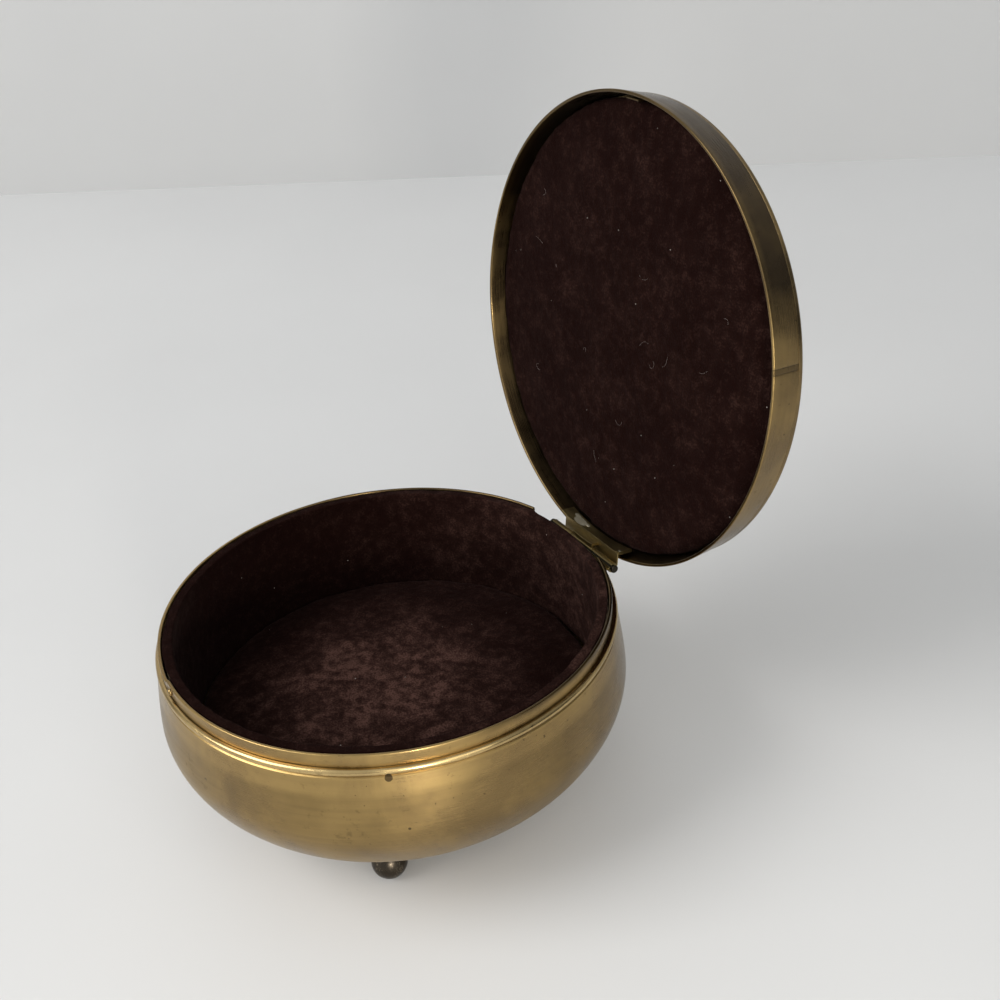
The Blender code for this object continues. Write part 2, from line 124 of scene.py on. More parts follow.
def toward(azimuth: float, radius: float, height: float = 0.0) -> Vector:
    """The point at an azimuth in degrees, a radius and a height."""
    turn = math.radians(azimuth)
    return Vector((math.sin(turn) * radius, -math.cos(turn) * radius, height))


def azimuth_of(point: Vector) -> float:
    """A point's azimuth in degrees, from -180 to 180."""
    return math.degrees(math.atan2(point.x, -point.y))


def smooth_step(value: float, start: float, end: float) -> float:
    """0 before start and 1 after end, with a smooth rise between them."""
    share = min(1.0, max(0.0, (value - start) / (end - start)))
    return share * share * (3 - 2 * share)


class Graph:
    """A material's node graph, with short calls for the nodes that the finishes share."""

    def __init__(self, name: str) -> None:
        """Starts a material with its Principled shader.

        Args:
            name: The material's name.
        """
        self.material = bpy.data.materials.new(name)
        self.material.use_nodes = True
        self.tree = self.material.node_tree
        self.shader = self.tree.nodes["Principled BSDF"]

    def add(self, kind: str, inputs: dict | None = None, **settings: object) -> bpy.types.Node:
        """Adds a node.

        Args:
            kind: The node's type.
            inputs: Values or sockets for its inputs, by name or number.
            settings: Values for its properties.

        Returns:
            The node.
        """
        node = self.tree.nodes.new(kind)
        for key, value in settings.items():
            setattr(node, key, value)
        for key, value in (inputs or {}).items():
            if isinstance(value, Socket):
                self.tree.links.new(value, node.inputs[key])
            else:
                node.inputs[key].default_value = value
        return node

    def constant(self, **values: object) -> None:
        """Sets constants on the shader's own sockets, with _ for a space."""
        for key, value in values.items():
            self.shader.inputs[key.replace("_", " ")].default_value = value

    def feed(self, **sockets: Socket) -> None:
        """Links sockets to the shader's inputs, with _ for a space."""
        for key, socket in sockets.items():
            self.tree.links.new(socket, self.shader.inputs[key.replace("_", " ")])

    def place(self, setting: Setting) -> Socket:
        """The point's place in modelling space, from its Object coordinates.

        Args:
            setting: The setting of the piece's body.

        Returns:
            The place.
        """
        coordinates = self.add("ShaderNodeTexCoord").outputs["Object"]
        back = setting.back
        inputs = {0: coordinates, "Location": back.translation, "Rotation": back.to_euler()}
        return self.add("ShaderNodeMapping", inputs).outputs[0]

    def math(self, operation: str, first: object, second: object = 0.0,
             clamp: bool = False) -> Socket:
        """The result of a Math node."""
        inputs = {0: first, 1: second}
        return self.add("ShaderNodeMath", inputs, operation=operation, use_clamp=clamp).outputs[0]

    def scaled(self, vector: Socket, factors: Sequence[float]) -> Socket:
        """A vector with each of its parts scaled."""
        inputs = {0: vector, 1: factors}
        return self.add("ShaderNodeVectorMath", inputs, operation="MULTIPLY").outputs[0]

    def radius(self, point: Socket) -> Socket:
        """How far a point is from the axis."""
        flat = self.scaled(point, (1.0, 1.0, 0.0))
        return self.add("ShaderNodeVectorMath", {0: flat}, operation="LENGTH").outputs["Value"]

    def round_tangent(self, point: Socket, setting: Setting) -> Socket:
        """The direction round the axis at a point, in which the brass is brushed.

        Args:
            point: The place in modelling space.
            setting: The setting of the piece's body.

        Returns:
            The direction, in the world's axes.
        """
        parts = self.add("ShaderNodeSeparateXYZ", {0: point}).outputs
        across = self.math("MULTIPLY", parts[1], -1.0)
        around = self.add("ShaderNodeCombineXYZ", {0: across, 1: parts[0]}).outputs[0]
        inputs = {0: around, "Rotation": setting.place.to_euler()}
        turned = self.add("ShaderNodeMapping", inputs, vector_type="VECTOR").outputs[0]
        return self.add("ShaderNodeVectorTransform", {0: turned}, vector_type="VECTOR",
                        convert_from="OBJECT", convert_to="WORLD").outputs[0]

    def round_grain(self, point: Socket, length: float, width: float) -> Socket:
        """Noise drawn out round the axis, as brushing on a lathe leaves it.

        Args:
            point: The place in modelling space.
            length: About how long one mark is.
            width: About how wide one mark is.

        Returns:
            The noise, from 0 to 1.
        """
        parts = self.add("ShaderNodeSeparateXYZ", {0: point}).outputs
        along = self.math("ADD", self.radius(point), parts[2])
        joined = self.add("ShaderNodeCombineXYZ", {0: parts[0], 1: parts[1], 2: along}).outputs[0]
        return self.noise(self.scaled(joined, (1 / length, 1 / length, 1 / width)), 1.0, 3.0)

    def noise(self, vector: Socket, scale: float, detail: float = 2.0, rough: float = 0.5,
              warp: float = 0.0) -> Socket:
        """A Noise Texture's value."""
        inputs = {"Vector": vector, "Scale": scale, "Detail": detail, "Roughness": rough,
                  "Distortion": warp}
        return self.add("ShaderNodeTexNoise", inputs).outputs[0]

    def between(self, value: Socket, low: float, high: float, start: float = 0.0,
                end: float = 1.0) -> Socket:
        """A value carried from the span low to high to the span start to end, and kept in it."""
        inputs = {0: value, 1: low, 2: high, 3: start, 4: end}
        return self.add("ShaderNodeMapRange", inputs, interpolation_type="SMOOTHSTEP").outputs[0]

    def mix(self, share: object, first: object, second: object, blend: str = "MIX") -> Socket:
        """Two colours mixed.

        Args:
            share: How much of the second there is.
            first: A colour, or a socket that gives one.
            second: Another of these.
            blend: How the second goes over the first.

        Returns:
            The mixed colour.
        """
        first, second = (c if isinstance(c, Socket) else (*c, 1.0) for c in (first, second))
        inputs = {0: share, 6: first, 7: second}
        return self.add("ShaderNodeMix", inputs, data_type="RGBA", blend_type=blend).outputs[2]

    def near(self, point: Socket, centre: Vector, radius: float, rough: Socket) -> Socket:
        """1 within a radius of a point and 0 outside it, with an uneven edge.

        Args:
            point: The place in modelling space.
            centre: The middle.
            radius: About how far it reaches.
            rough: Noise that moves the edge.

        Returns:
            The mask.
        """
        inputs = {0: point, 1: centre}
        gap = self.add("ShaderNodeVectorMath", inputs, operation="DISTANCE").outputs["Value"]
        uneven = self.math("MULTIPLY_ADD", rough, radius)
        uneven.node.inputs[2].default_value = radius / 2
        return self.math("LESS_THAN", gap, uneven)

    def bump(self, height: Socket, strength: float, distance: float,
             normal: Socket | None = None) -> Socket:
        """A bumped normal, on top of another if one is given.

        Args:
            height: The height, from 0 to 1.
            strength: How much of it shows.
            distance: The height's full size.
            normal: The normal under it.

        Returns:
            The normal.
        """
        inputs = {"Height": height, "Strength": strength, "Distance": distance}
        if normal is not None:
            inputs["Normal"] = normal
        return self.add("ShaderNodeBump", inputs).outputs[0]


@dataclass(frozen=True)
class Spot:
    """A tarnished spot on a piece, placed in modelling space."""

    centre: tuple[float, float, float]
    radius: float

    @classmethod
    def at(cls, azimuth: float, radius: float, height: float, size: float) -> "Spot":
        """A spot at an azimuth in degrees, with its other values in millimetres."""
        return cls(tuple(toward(azimuth, radius * MM, height * MM)), size * MM)


@dataclass(frozen=True)
class Brass:
    """Old brass, brushed round the axis, with brown tarnish, small scratches and worn edges, and
    with painted shade and a painted reflection where a piece's darkening attribute carries them.
    """

    clean: Colour = (0.40, 0.272, 0.105)
    dull: Colour = (0.27, 0.182, 0.078)
    # Also the colour that painted shade, and the darker side of a painted reflection, are mixed
    # towards.
    tarnish: Colour = (0.045, 0.030, 0.017)
    roughness: float = 0.29
    grain: float = 0.12
    stained: float = 0.30
    spots: tuple[Spot, ...] = ()

    def material(self, name: str, setting: Setting) -> bpy.types.Material:
        """Makes the material for one piece.

        Args:
            name: The material's name.
            setting: The setting of the piece's body.

        Returns:
            The material.
        """
        graph = Graph(name)
        point = graph.place(setting)
        clouds = graph.noise(point, 42.0, 6.0, 0.62, 0.4)
        freckles = graph.noise(point, 520.0, 5.0, 0.7)
        grain = graph.round_grain(point, 9 * MM, 0.11 * MM)
        wide_grain = graph.round_grain(point, 30 * MM, 0.9 * MM)
        worn = graph.add("ShaderNodeAttribute", attribute_name="wear").outputs["Fac"]
        tarnish_and_painted_shade = graph.add("ShaderNodeAttribute", attribute_name="darkening").outputs["Fac"]
        colour = graph.mix(graph.between(clouds, 0.36, 0.66), self.dull, self.clean)
        colour = graph.mix(graph.between(wide_grain, 0.35, 0.75, 0.0, 0.35), colour, self.dull)
        darkening = graph.between(graph.math("MULTIPLY", clouds, freckles), 0.335, 0.44)
        colour = graph.mix(graph.math("MULTIPLY", darkening, self.stained), colour, self.tarnish)
        pits = graph.between(graph.noise(point, 900.0, 3.0, 0.5), 0.70, 0.76)
        colour = graph.mix(graph.math("MULTIPLY", pits, 0.7), colour, self.tarnish)
        colour = graph.mix(graph.between(worn, 0.15, 0.8, 0.0, 0.6), colour, self.clean)
        # The darkening attribute: tarnish and seams, and on the bowl and the lid's band also
        # painted shade and a painted reflection.
        colour = graph.mix(graph.math("MULTIPLY", tarnish_and_painted_shade, 0.95), colour, self.tarnish)
        for spot in self.spots:
            mask = graph.near(point, Vector(spot.centre), spot.radius, freckles)
            colour = graph.mix(graph.math("MULTIPLY", mask, 0.85), colour, self.tarnish)
        rough = graph.between(clouds, 0.3, 0.75, self.roughness - 0.05, self.roughness + 0.10)
        rough = graph.math("ADD", rough, graph.between(grain, 0.3, 0.7, -0.04, 0.05))
        rough = graph.math("ADD", rough, graph.between(darkening, 0.0, 1.0, 0.0, 0.12))
        scratch = self.scratches(graph, point)
        normal = graph.bump(grain, self.grain, 0.03 * MM)
        normal = graph.bump(clouds, 0.25, 0.25 * MM, normal)
        normal = graph.bump(scratch, 0.35, 0.02 * MM, normal)
        graph.constant(Metallic=1.0, Anisotropic=0.6, Anisotropic_Rotation=0.25)
        tangent = graph.round_tangent(point, setting)
        graph.feed(Base_Color=colour, Roughness=rough, Normal=normal, Tangent=tangent)
        return graph.material

    @staticmethod
    def scratches(graph: Graph, point: Socket) -> Socket:
        """Fine scratches in two directions, as a height that dips.

        Args:
            graph: The material's graph.
            point: The place in modelling space.

        Returns:
            The height.
        """
        marks = []
        for turn in (0.5, -0.9):
            inputs = {0: point, "Rotation": (turn, 0.4 * turn, 0.3), "Scale": (60.0, 2600.0, 60.0)}
            drawn = graph.add("ShaderNodeMapping", inputs).outputs[0]
            marks.append(graph.between(graph.noise(drawn, 1.0, 2.0), 0.70, 0.74))
        return graph.math("SUBTRACT", 1.0, graph.math("MAXIMUM", *marks))


@dataclass(frozen=True)
class Bronze:
    """Dark, smooth metal that shows lighter where it has been handled."""

    dark: Colour = (0.055, 0.045, 0.034)
    worn: Colour = (0.25, 0.205, 0.15)
    roughness: float = 0.30

    def material(self, name: str, setting: Setting) -> bpy.types.Material:
        """Makes the material for one piece.

        Args:
            name: The material's name.
            setting: The setting of the piece's body.

        Returns:
            The material.
        """
        graph = Graph(name)
        point = graph.place(setting)
        clouds = graph.noise(point, 420.0, 5.0, 0.65, 0.5)
        specks = graph.noise(point, 2600.0, 3.0, 0.6)
        share = graph.between(graph.math("MULTIPLY", clouds, specks), 0.27, 0.42)
        colour = graph.mix(share, self.dark, self.worn)
        rough = graph.between(clouds, 0.3, 0.7, self.roughness - 0.06, self.roughness + 0.16)
        graph.constant(Metallic=1.0)
        normal = graph.bump(specks, 0.2, 0.03 * MM)
        graph.feed(Base_Color=colour, Roughness=rough, Normal=normal)
        return graph.material


@dataclass(frozen=True)
class Velvet:
    """Cut pile lying in patches, with lint caught in it; how much lighter pile shows is also set to
    paint light and shade.
    """

    deep: Colour = (0.0062, 0.0018, 0.0013)
    lit: Colour = (0.072, 0.036, 0.028)
    lint: Colour = (0.36, 0.33, 0.30)
    # How much lighter pile shows on a piece: partly the pile's own lie, and partly painted light
    # where the piece is lit and painted shade where it is not.
    crushed_and_lit: float = 0.9
    tips: float = 0.14
    # A point round which lighter pile is painted as light that falls there, fading to painted shade
    # further off.
    pressed_and_lit_centre: tuple[float, float, float] = (0.0, 0.0, 0.0)
    pressed_and_lit_radius: float = 0.0

    def material(self, name: str, setting: Setting) -> bpy.types.Material:
        """Makes the material for one piece.

        Args:
            name: The material's name.
            setting: The setting of the piece's body.

        Returns:
            The material.
        """
        graph = Graph(name)
        point = graph.place(setting)
        patches = graph.noise(point, 105.0, 5.0, 0.6, 0.1)
        mottles = graph.noise(point, 430.0, 4.0, 0.62)
        pile = graph.noise(point, 2400.0, 3.0, 0.6)
        lying = graph.between(patches, 0.40, 0.70)
        # Painted light near the given point and painted shade away from it, on top of the pile's
        # own patches.
        if self.pressed_and_lit_radius:
            inputs = {0: point, 1: self.pressed_and_lit_centre}
            gap = graph.add("ShaderNodeVectorMath", inputs, operation="DISTANCE").outputs["Value"]
            pressed_and_lit = graph.between(gap, 0.0, self.pressed_and_lit_radius, 1.0, 0.06)
            lying = graph.math("MULTIPLY", graph.math("ADD", lying, 0.45), pressed_and_lit)
        mottled = graph.math("MULTIPLY", lying, graph.between(mottles, 0.32, 0.68, 0.3, 1.0))
        stroked = graph.math("MULTIPLY", mottled, graph.between(pile, 0.3, 0.7, 0.35, 1.35))
        tips = graph.between(graph.math("MULTIPLY", pile, mottles), 0.25, 0.40, 0.0, self.tips)
        stroked = graph.math("MULTIPLY", stroked, self.crushed_and_lit)
        share = graph.math("ADD", stroked, tips, clamp=True)
        colour = graph.mix(share, self.deep, self.lit)
        cells = graph.add("ShaderNodeTexVoronoi", {"Vector": point, "Scale": 330.0}).outputs
        chosen = graph.add("ShaderNodeSeparateColor", {0: cells["Color"]}).outputs[0]
        flecks = graph.math(
            "MULTIPLY", graph.math("LESS_THAN", cells["Distance"], 0.045),
            graph.math("GREATER_THAN", chosen, 0.80),
        )
        colour = graph.mix(graph.math("MULTIPLY", flecks, 0.8), colour, self.lint)
        normal = graph.bump(pile, 0.7, 0.35 * MM)
        normal = graph.bump(mottles, 0.6, 0.6 * MM, normal)
        graph.constant(Roughness=1.0, Specular_IOR_Level=0.03, Sheen_Weight=0.025,
                       Sheen_Roughness=0.4, Sheen_Tint=(0.66, 0.42, 0.38, 1.0))
        graph.feed(Base_Color=colour, Normal=normal)
        return graph.material


@dataclass(frozen=True)
class Fibre:
    """A dry fibrous stuff, such as card or wadding."""

    base: Colour
    shade: Colour
    size: float
    height: float

    def material(self, name: str, setting: Setting) -> bpy.types.Material:
        """Makes the material for one piece.

        Args:
            name: The material's name.
            setting: The setting of the piece's body.

        Returns:
            The material.
        """
        graph = Graph(name)
        point = graph.place(setting)
        fibres = graph.noise(point, 1 / self.size, 5.0, 0.7, 1.2)
        colour = graph.mix(graph.between(fibres, 0.3, 0.7), self.shade, self.base)
        graph.constant(Roughness=0.95, Specular_IOR_Level=0.2)
        graph.feed(Base_Color=colour, Normal=graph.bump(fibres, 0.6, self.height))
        return graph.material


@dataclass(frozen=True)
class Stitched:
    """Thread, coloured stitch by stitch from the mesh, with slanting strands."""

    pitch: float

    def material(self, name: str, setting: Setting) -> bpy.types.Material:
        """Makes the material for one piece.

        Args:
            name: The material's name.
            setting: The setting of the piece's body.

        Returns:
            The material.
        """
        graph = Graph(name)
        point = graph.place(setting)
        thread = graph.add("ShaderNodeAttribute", attribute_name="thread").outputs["Color"]
        inputs = {0: point, "Rotation": (0.0, 0.0, math.radians(45)),
                  "Scale": (1 / self.pitch, 9 / self.pitch, 1 / self.pitch)}
        strands = graph.noise(graph.add("ShaderNodeMapping", inputs).outputs[0], 1.0, 2.0)
        shade = graph.between(strands, 0.3, 0.7, 0.0, 0.35)
        faded = graph.between(graph.noise(point, 60.0, 4.0), 0.4, 0.75, 0.0, 0.10)
        colour = graph.mix(shade, thread, (0.0, 0.0, 0.0))
        colour = graph.mix(faded, colour, (0.45, 0.40, 0.32))
        graph.constant(Roughness=0.72, Specular_IOR_Level=0.35, Sheen_Weight=0.15)
        graph.feed(Base_Color=colour, Normal=graph.bump(strands, 0.5, 0.06 * MM))
        return graph.material


BRASS = Brass()
BRIGHT = Brass(clean=(0.58, 0.42, 0.19), dull=(0.40, 0.285, 0.13), roughness=0.20, stained=0.25)
SOLDER = Brass(clean=(0.40, 0.36, 0.27), dull=(0.27, 0.24, 0.17), roughness=0.50, stained=0.3)
BRONZE = Bronze()
STEEL = Bronze(dark=(0.11, 0.10, 0.085), worn=(0.30, 0.28, 0.25), roughness=0.38)
PIN_STEEL = Bronze(dark=(0.030, 0.026, 0.020), worn=(0.12, 0.105, 0.08), roughness=0.42)
LID_EDGE = Brass(clean=(0.36, 0.25, 0.11), dull=(0.23, 0.165, 0.082))
CARD = Fibre((0.42, 0.34, 0.24), (0.27, 0.21, 0.14), 0.5 * MM, 0.05 * MM)
LINT = Fibre((0.42, 0.35, 0.33), (0.22, 0.18, 0.17), 0.6 * MM, 0.01 * MM)
HINGE_BRASS = Brass(clean=(0.27, 0.205, 0.088), dull=(0.165, 0.128, 0.058), roughness=0.34,
                    stained=0.6)
WADDING = Fibre((0.80, 0.78, 0.72), (0.60, 0.57, 0.50), 1.2 * MM, 0.5 * MM)

Finish = Brass | Bronze | Velvet | Fibre | Stitched


def softened(corners: Profile, radius: float, ring: bool = True, arc_steps: int = 4) -> Profile:
    """Rounds an outline's corners, and leaves points where it hardly turns.

    Args:
        corners: The outline's corners.
        radius: How far from a corner its rounding starts, at most.
        ring: Whether the outline is closed, or else its two ends stay.
        arc_steps: How many steps each rounding has.

    Returns:
        The rounded outline.
    """
    points = [Vector(corner) for corner in corners]
    rounded = []
    for index, point in enumerate(points):
        if not ring and index in (0, len(points) - 1):
            rounded.append(point)
            continue
        before, after = points[index - 1] - point, points[(index + 1) % len(points)] - point
        if before.angle(after) > math.radians(150):
            rounded.append(point)
            continue
        start = point + before.normalized() * min(radius, before.length * 0.45)
        end = point + after.normalized() * min(radius, after.length * 0.45)
        for step in range(arc_steps + 1):
            share = step / arc_steps
            rounded.append(start.lerp(point, share).lerp(point.lerp(end, share), share))
    return [(point.x, point.y) for point in rounded]


def offset(profile: Profile, distance: float) -> Profile:
    """An open outline moved sideways by a distance, to its left.

    Args:
        profile: The outline.
        distance: How far it moves.

    Returns:
        The moved outline, kept from crossing the axis.
    """
    moved = []
    for index, point in enumerate(profile):
        before = profile[max(0, index - 1)]
        after = profile[min(len(profile) - 1, index + 1)]
        run = Vector(after) - Vector(before)
        side = Vector((-run.y, run.x)).normalized() * distance
        moved.append((max(0.0, point[0] + side.x), point[1] + side.y))
    return moved


def spun(profile: Profile, ring: bool = True, start: float = 0.0, turn: float = 360.0,
         steps: int = STEPS) -> bmesh.types.BMesh:
    """Turns an outline round the axis.

    Args:
        profile: Radius and height of the outline's points.
        ring: Whether the outline is closed, or else starts and ends on the axis.
        start: The azimuth where it starts.
        turn: How far it turns, in degrees. Short of a full turn its ends are closed.
        steps: How many steps it takes.

    Returns:
        The closed shape.
    """
    shape = bmesh.new()
    verts = [shape.verts.new(toward(start, radius, height)) for radius, height in profile]
    whole = turn >= 360.0
    if ring and not whole:
        geom = [shape.faces.new(verts)]
    else:
        geom = [shape.edges.new(pair) for pair in zip(verts, verts[1:])]
        if ring:
            geom.append(shape.edges.new((verts[-1], verts[0])))
    bmesh.ops.spin(shape, geom=[*verts, *shape.edges, *shape.faces], cent=(0, 0, 0),
                   axis=(0, 0, 1), angle=math.radians(turn), steps=steps, use_merge=whole,
                   dvec=(0, 0, 0))
    bmesh.ops.remove_doubles(shape, verts=shape.verts, dist=MERGE)
    bmesh.ops.recalc_face_normals(shape, faces=shape.faces)
    return shape


def uneven(shape: bmesh.types.BMesh, amount: float, size: float, seed: float = 0.0) -> None:
    """Moves a shape's points along their normals by smooth noise of a size.

    Args:
        shape: The shape, in modelling space.
        amount: How far a point moves at most.
        size: About how wide one swelling is.
        seed: Which part of the noise it is.
    """
    shape.normal_update()
    shift = Vector((seed, 2 * seed, 3 * seed))
    for vert in shape.verts:
        vert.co += vert.normal * amount * noise.noise(vert.co / size + shift)


def mark_wear(shape: bmesh.types.BMesh) -> None:
    """Stores at each point how sharply the surface turns outwards there, from 0 to 1.

    Args:
        shape: The shape, in modelling space.
    """
    layer = shape.verts.layers.float.new("wear")
    full_turn = 0.5
    for vert in shape.verts:
        turns = [edge.calc_face_angle_signed(0.0) for edge in vert.link_edges]
        vert[layer] = min(1.0, max(0.0, sum(turns) / max(1, len(turns)) / full_turn))


def mark_darkening(shape: bmesh.types.BMesh, measure: Callable[[Vector], float]) -> None:
    """Stores at each point how far its brass is darkened, from 0 to 1: tarnish and seams, and on
    the bowl and the lid's band also painted shade and a painted reflection.

    Args:
        shape: The shape, in modelling space.
        measure: Gives how far a point is darkened.
    """
    layer = shape.verts.layers.float.new("darkening")
    for vert in shape.verts:
        vert[layer] = measure(vert.co)


def join(shapes: Iterable[bmesh.types.BMesh]) -> bmesh.types.BMesh:
    """Joins closed shapes in one mesh.

    Args:
        shapes: The shapes, which this frees.

    Returns:
        The joined mesh.
    """
    whole = bmesh.new()
    for shape in shapes:
        mesh = bpy.data.meshes.new("joined")
        shape.to_mesh(mesh)
        shape.free()
        whole.from_mesh(mesh)
        bpy.data.meshes.remove(mesh)
    return whole


def make_piece(name: str, shape: bmesh.types.BMesh, setting: Setting, finish: Finish,
               nodes: Sequence[str] = ()) -> bpy.types.Object:
    """Turns a shape into a dressed piece that rides on its body.

    Args:
        name: The piece's name.
        shape: Its shape in modelling space, which this frees.
        setting: Its body's setting.
        finish: Its finish.
        nodes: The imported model's nodes that it stands for.

    Returns:
        The piece.
    """
    mark_wear(shape)
    mesh = bpy.data.meshes.new(name)
    shape.to_mesh(mesh)
    shape.free()
    mesh.transform(setting.place)
    mesh.materials.append(finish.material(name, setting))
    mesh.shade_smooth()
    mesh.set_sharp_from_angle(angle=SHARP)
    piece = bpy.data.objects.new(name, mesh)
    bpy.context.scene.collection.objects.link(piece)
    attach(piece, setting.body.value)
    if nodes:
        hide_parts(*nodes)
    LOG.info("%s: %d faces on %s", name, len(mesh.polygons), setting.body.value)
    return piece


def dress_node(name: str, setting: Setting, finish: Finish) -> None:
    """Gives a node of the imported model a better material.

    Args:
        name: The node's name.
        setting: Its body's setting.
        finish: Its finish.
    """
    mesh = frame["nodes"][name].data
    mesh.materials.clear()
    mesh.materials.append(finish.material(name, setting))
    LOG.info("%s: kept from the packed model", name)


def carved(shape: bmesh.types.BMesh, low: Vector, high: Vector) -> bmesh.types.BMesh:
    """Cuts a box out of a closed shape.

    Args:
        shape: The shape, which this frees.
        low: The box's lowest corner.
        high: Its highest corner.

    Returns:
        The cut shape.
    """
    cutter = bmesh.new()
    size = Matrix.Diagonal((*(high - low), 1.0))
    bmesh.ops.create_cube(cutter, size=1, matrix=Matrix.Translation((low + high) / 2) @ size)
    objects = []
    for label, source in (("whole", shape), ("cutter", cutter)):
        mesh = bpy.data.meshes.new(label)
        source.to_mesh(mesh)
        source.free()
        objects.append(bpy.data.objects.new(label, mesh))
        bpy.context.scene.collection.objects.link(objects[-1])
    modifier = objects[0].modifiers.new("cut", "BOOLEAN")
    modifier.object = objects[1]
    modifier.solver = "EXACT"
    result = bmesh.new()
    result.from_object(objects[0], bpy.context.evaluated_depsgraph_get())
    for helper in objects:
        bpy.data.objects.remove(helper)
    return result


def ring_past_hinge(profile: Profile) -> bmesh.types.BMesh:
    """A ring that is open at the back for the hinge.

    Args:
        profile: Radius and height of its outline's points.

    Returns:
        The closed shape.
    """
    reach = max(radius for radius, _ in profile)
    open_turn = 2 * math.degrees(math.asin(HINGE_GAP / reach))
    return spun(profile, start=180 + open_turn / 2, turn=360 - open_turn)


@dataclass
class Bowl:
    """The spun bowl with its collar, bead and ball feet."""

    setting: Setting
    belly_radius: float = 52.6 * MM
    mouth_radius: float = 51.0 * MM
    base_radius: float = 35.0 * MM
    underside: float = 8.3 * MM
    belly_rise: float = 23.8 * MM
    shoulder_rise: float = 13.3 * MM
    side_power: float = 1.1
    shoulder_power: float = 1.4
    collar_radius: float = 50.0 * MM
    collar_foot: float = 42.2 * MM
    collar_top: float = 50.3 * MM
    bead_foot: float = 45.7 * MM
    bead_height: float = 1.6 * MM
    bead_reach: float = 0.85 * MM
    base_ring: tuple[tuple[float, float], ...] = (
        (28.0, 0.0), (27.6, 0.15), (27.0, 0.2), (26.4, 0.15), (26.0, 0.0),
    )
    shell_spots: tuple[tuple[float, float, float, float], ...] = (
        (63.0, 50.9, 45.1, 0.75), (12.0, 51.9, 35.0, 0.35), (66.0, 52.5, 33.0, 0.30),
    )
    bead_spot: tuple[float, float, float, float] = (63.0, 51.0, 45.9, 0.55)
    # Heights where the painted reflection on the shoulder gives way to the darker body below.
    painted_reflection_heights: tuple[float, float] = (40.3 * MM, 42.3 * MM)
    dark_azimuths: tuple[float, float] = (70.0, 105.0)
    notch_foot: float = 43.1 * MM
    crease_azimuth: float = -2.5
    crease_reach: float = 0.35 * MM
    crease_width: float = 12.0
    foot_azimuths: tuple[tuple[str, float], ...] = (("right", 55), ("back", 175), ("left", 295))
    foot_circle: float = 32.0 * MM
    ball_radius: float = 4.0 * MM
    ball_flat: float = 0.7 * MM
    stud_radius: float = 1.0 * MM
    stud_top: float = 11.4 * MM

    def radius_at(self, height: float) -> float:
        """The outer radius at a height.

        Args:
            height: The height over the floor.

        Returns:
            The radius.
        """
        belly = self.underside + self.belly_rise
        if height > belly:
            share = (height - belly) / self.shoulder_rise
            inset = self.belly_radius - self.mouth_radius
            return self.belly_radius - inset * share**self.shoulder_power
        share = (belly - height) / self.belly_rise
        bulge = max(0.0, 1 - share**2) ** self.side_power
        return self.base_radius + (self.belly_radius - self.base_radius) * bulge

    def outline(self) -> Profile:
        """The bowl's outer line, from its mouth to the middle of its underside.

        Returns:
            The line.
        """
        belly = self.underside + self.belly_rise
        shoulder = [belly + self.shoulder_rise * (1 - step / 16) for step in range(16)]
        side = [belly - self.belly_rise * math.sin(math.pi / 2 * step / 36) for step in range(37)]
        wall = [(self.radius_at(height), height) for height in shoulder + side]
        foot = [(radius * MM, self.underside + depth * MM) for radius, depth in self.base_ring]
        return [*wall, *foot, (0.0, self.underside)]

    def build_shell(self) -> None:
        """The bowl's wall, with a rounded mouth and a notch for the hinge."""
        outer = self.outline()
        inner = offset(outer, -SHEET)
        lip = [((outer[0][0] + inner[0][0]) / 2, outer[0][1] + 0.25 * MM)]
        profile = [(0.0, outer[-1][1] + SHEET), *inner[:-1][::-1], *lip, *outer]
        shape = spun(profile, ring=False)
        uneven(shape, amount=0.035 * MM, size=14 * MM)
        low = Vector((-HINGE_GAP, 0.0, self.notch_foot))
        shape = carved(shape, low, Vector((HINGE_GAP, 2 * self.belly_radius, 2 * self.collar_top)))
        mark_darkening(shape, self.shell_tarnish_and_painted_reflection)
        spots = tuple(Spot.at(*spot) for spot in self.shell_spots)
        make_piece("bowl_wall", shape, self.setting, Brass(spots=spots),
                   ["bowl_shell"])

    def shell_tarnish_and_painted_reflection(self, point: Vector) -> float:
        """How far a point of the bowl is darkened: a painted reflection leaves the shoulder lighter
        than the body below it, with tarnish clouds over both.

        Args:
            point: The point, in modelling space.

        Returns:
            How dark it is, from 0 to 1, before it is kept in that span.
        """
        # Painted reflection: the body below the shoulder is painted darker than the shoulder.
        shoulder = smooth_step(point.z, *self.painted_reflection_heights)
        cloud = 0.22 * noise.noise(point / (11 * MM)) + 0.08 * noise.noise(point / (3 * MM))
        return 0.30 * (1 - shoulder) + cloud * (1 - 0.6 * shoulder)

    def build_collar(self) -> None:
        """The collar, which is bent out a little on one side of a crease at the front."""
        inner = self.collar_radius - SHEET
        corners = [(self.collar_radius, self.collar_top), (self.collar_radius, self.collar_foot),
                   (inner, self.collar_foot), (inner, self.collar_top)]
        rows, fall = 6, self.collar_foot - self.collar_top
        wall = [(self.collar_radius, self.collar_top + fall * step / rows)
                for step in range(1, rows)]
        shape = ring_past_hinge(softened([corners[0], *wall, *corners[1:]], 0.3 * MM))
        for vert in shape.verts:
            past = self.crease_azimuth - azimuth_of(vert.co)
            if 0 < past < self.crease_width:
                lift = smooth_step(vert.co.z, self.bead_foot, self.collar_top)
                outward = vert.co.xy.normalized().to_3d()
                vert.co += outward * self.crease_reach * lift * (1 - past / self.crease_width)
        uneven(shape, amount=0.04 * MM, size=9 * MM, seed=4.0)
        mark_darkening(shape, self.collar_darkening)
        make_piece("collar_strip", shape, self.setting, BRASS, ["neck_collar"])

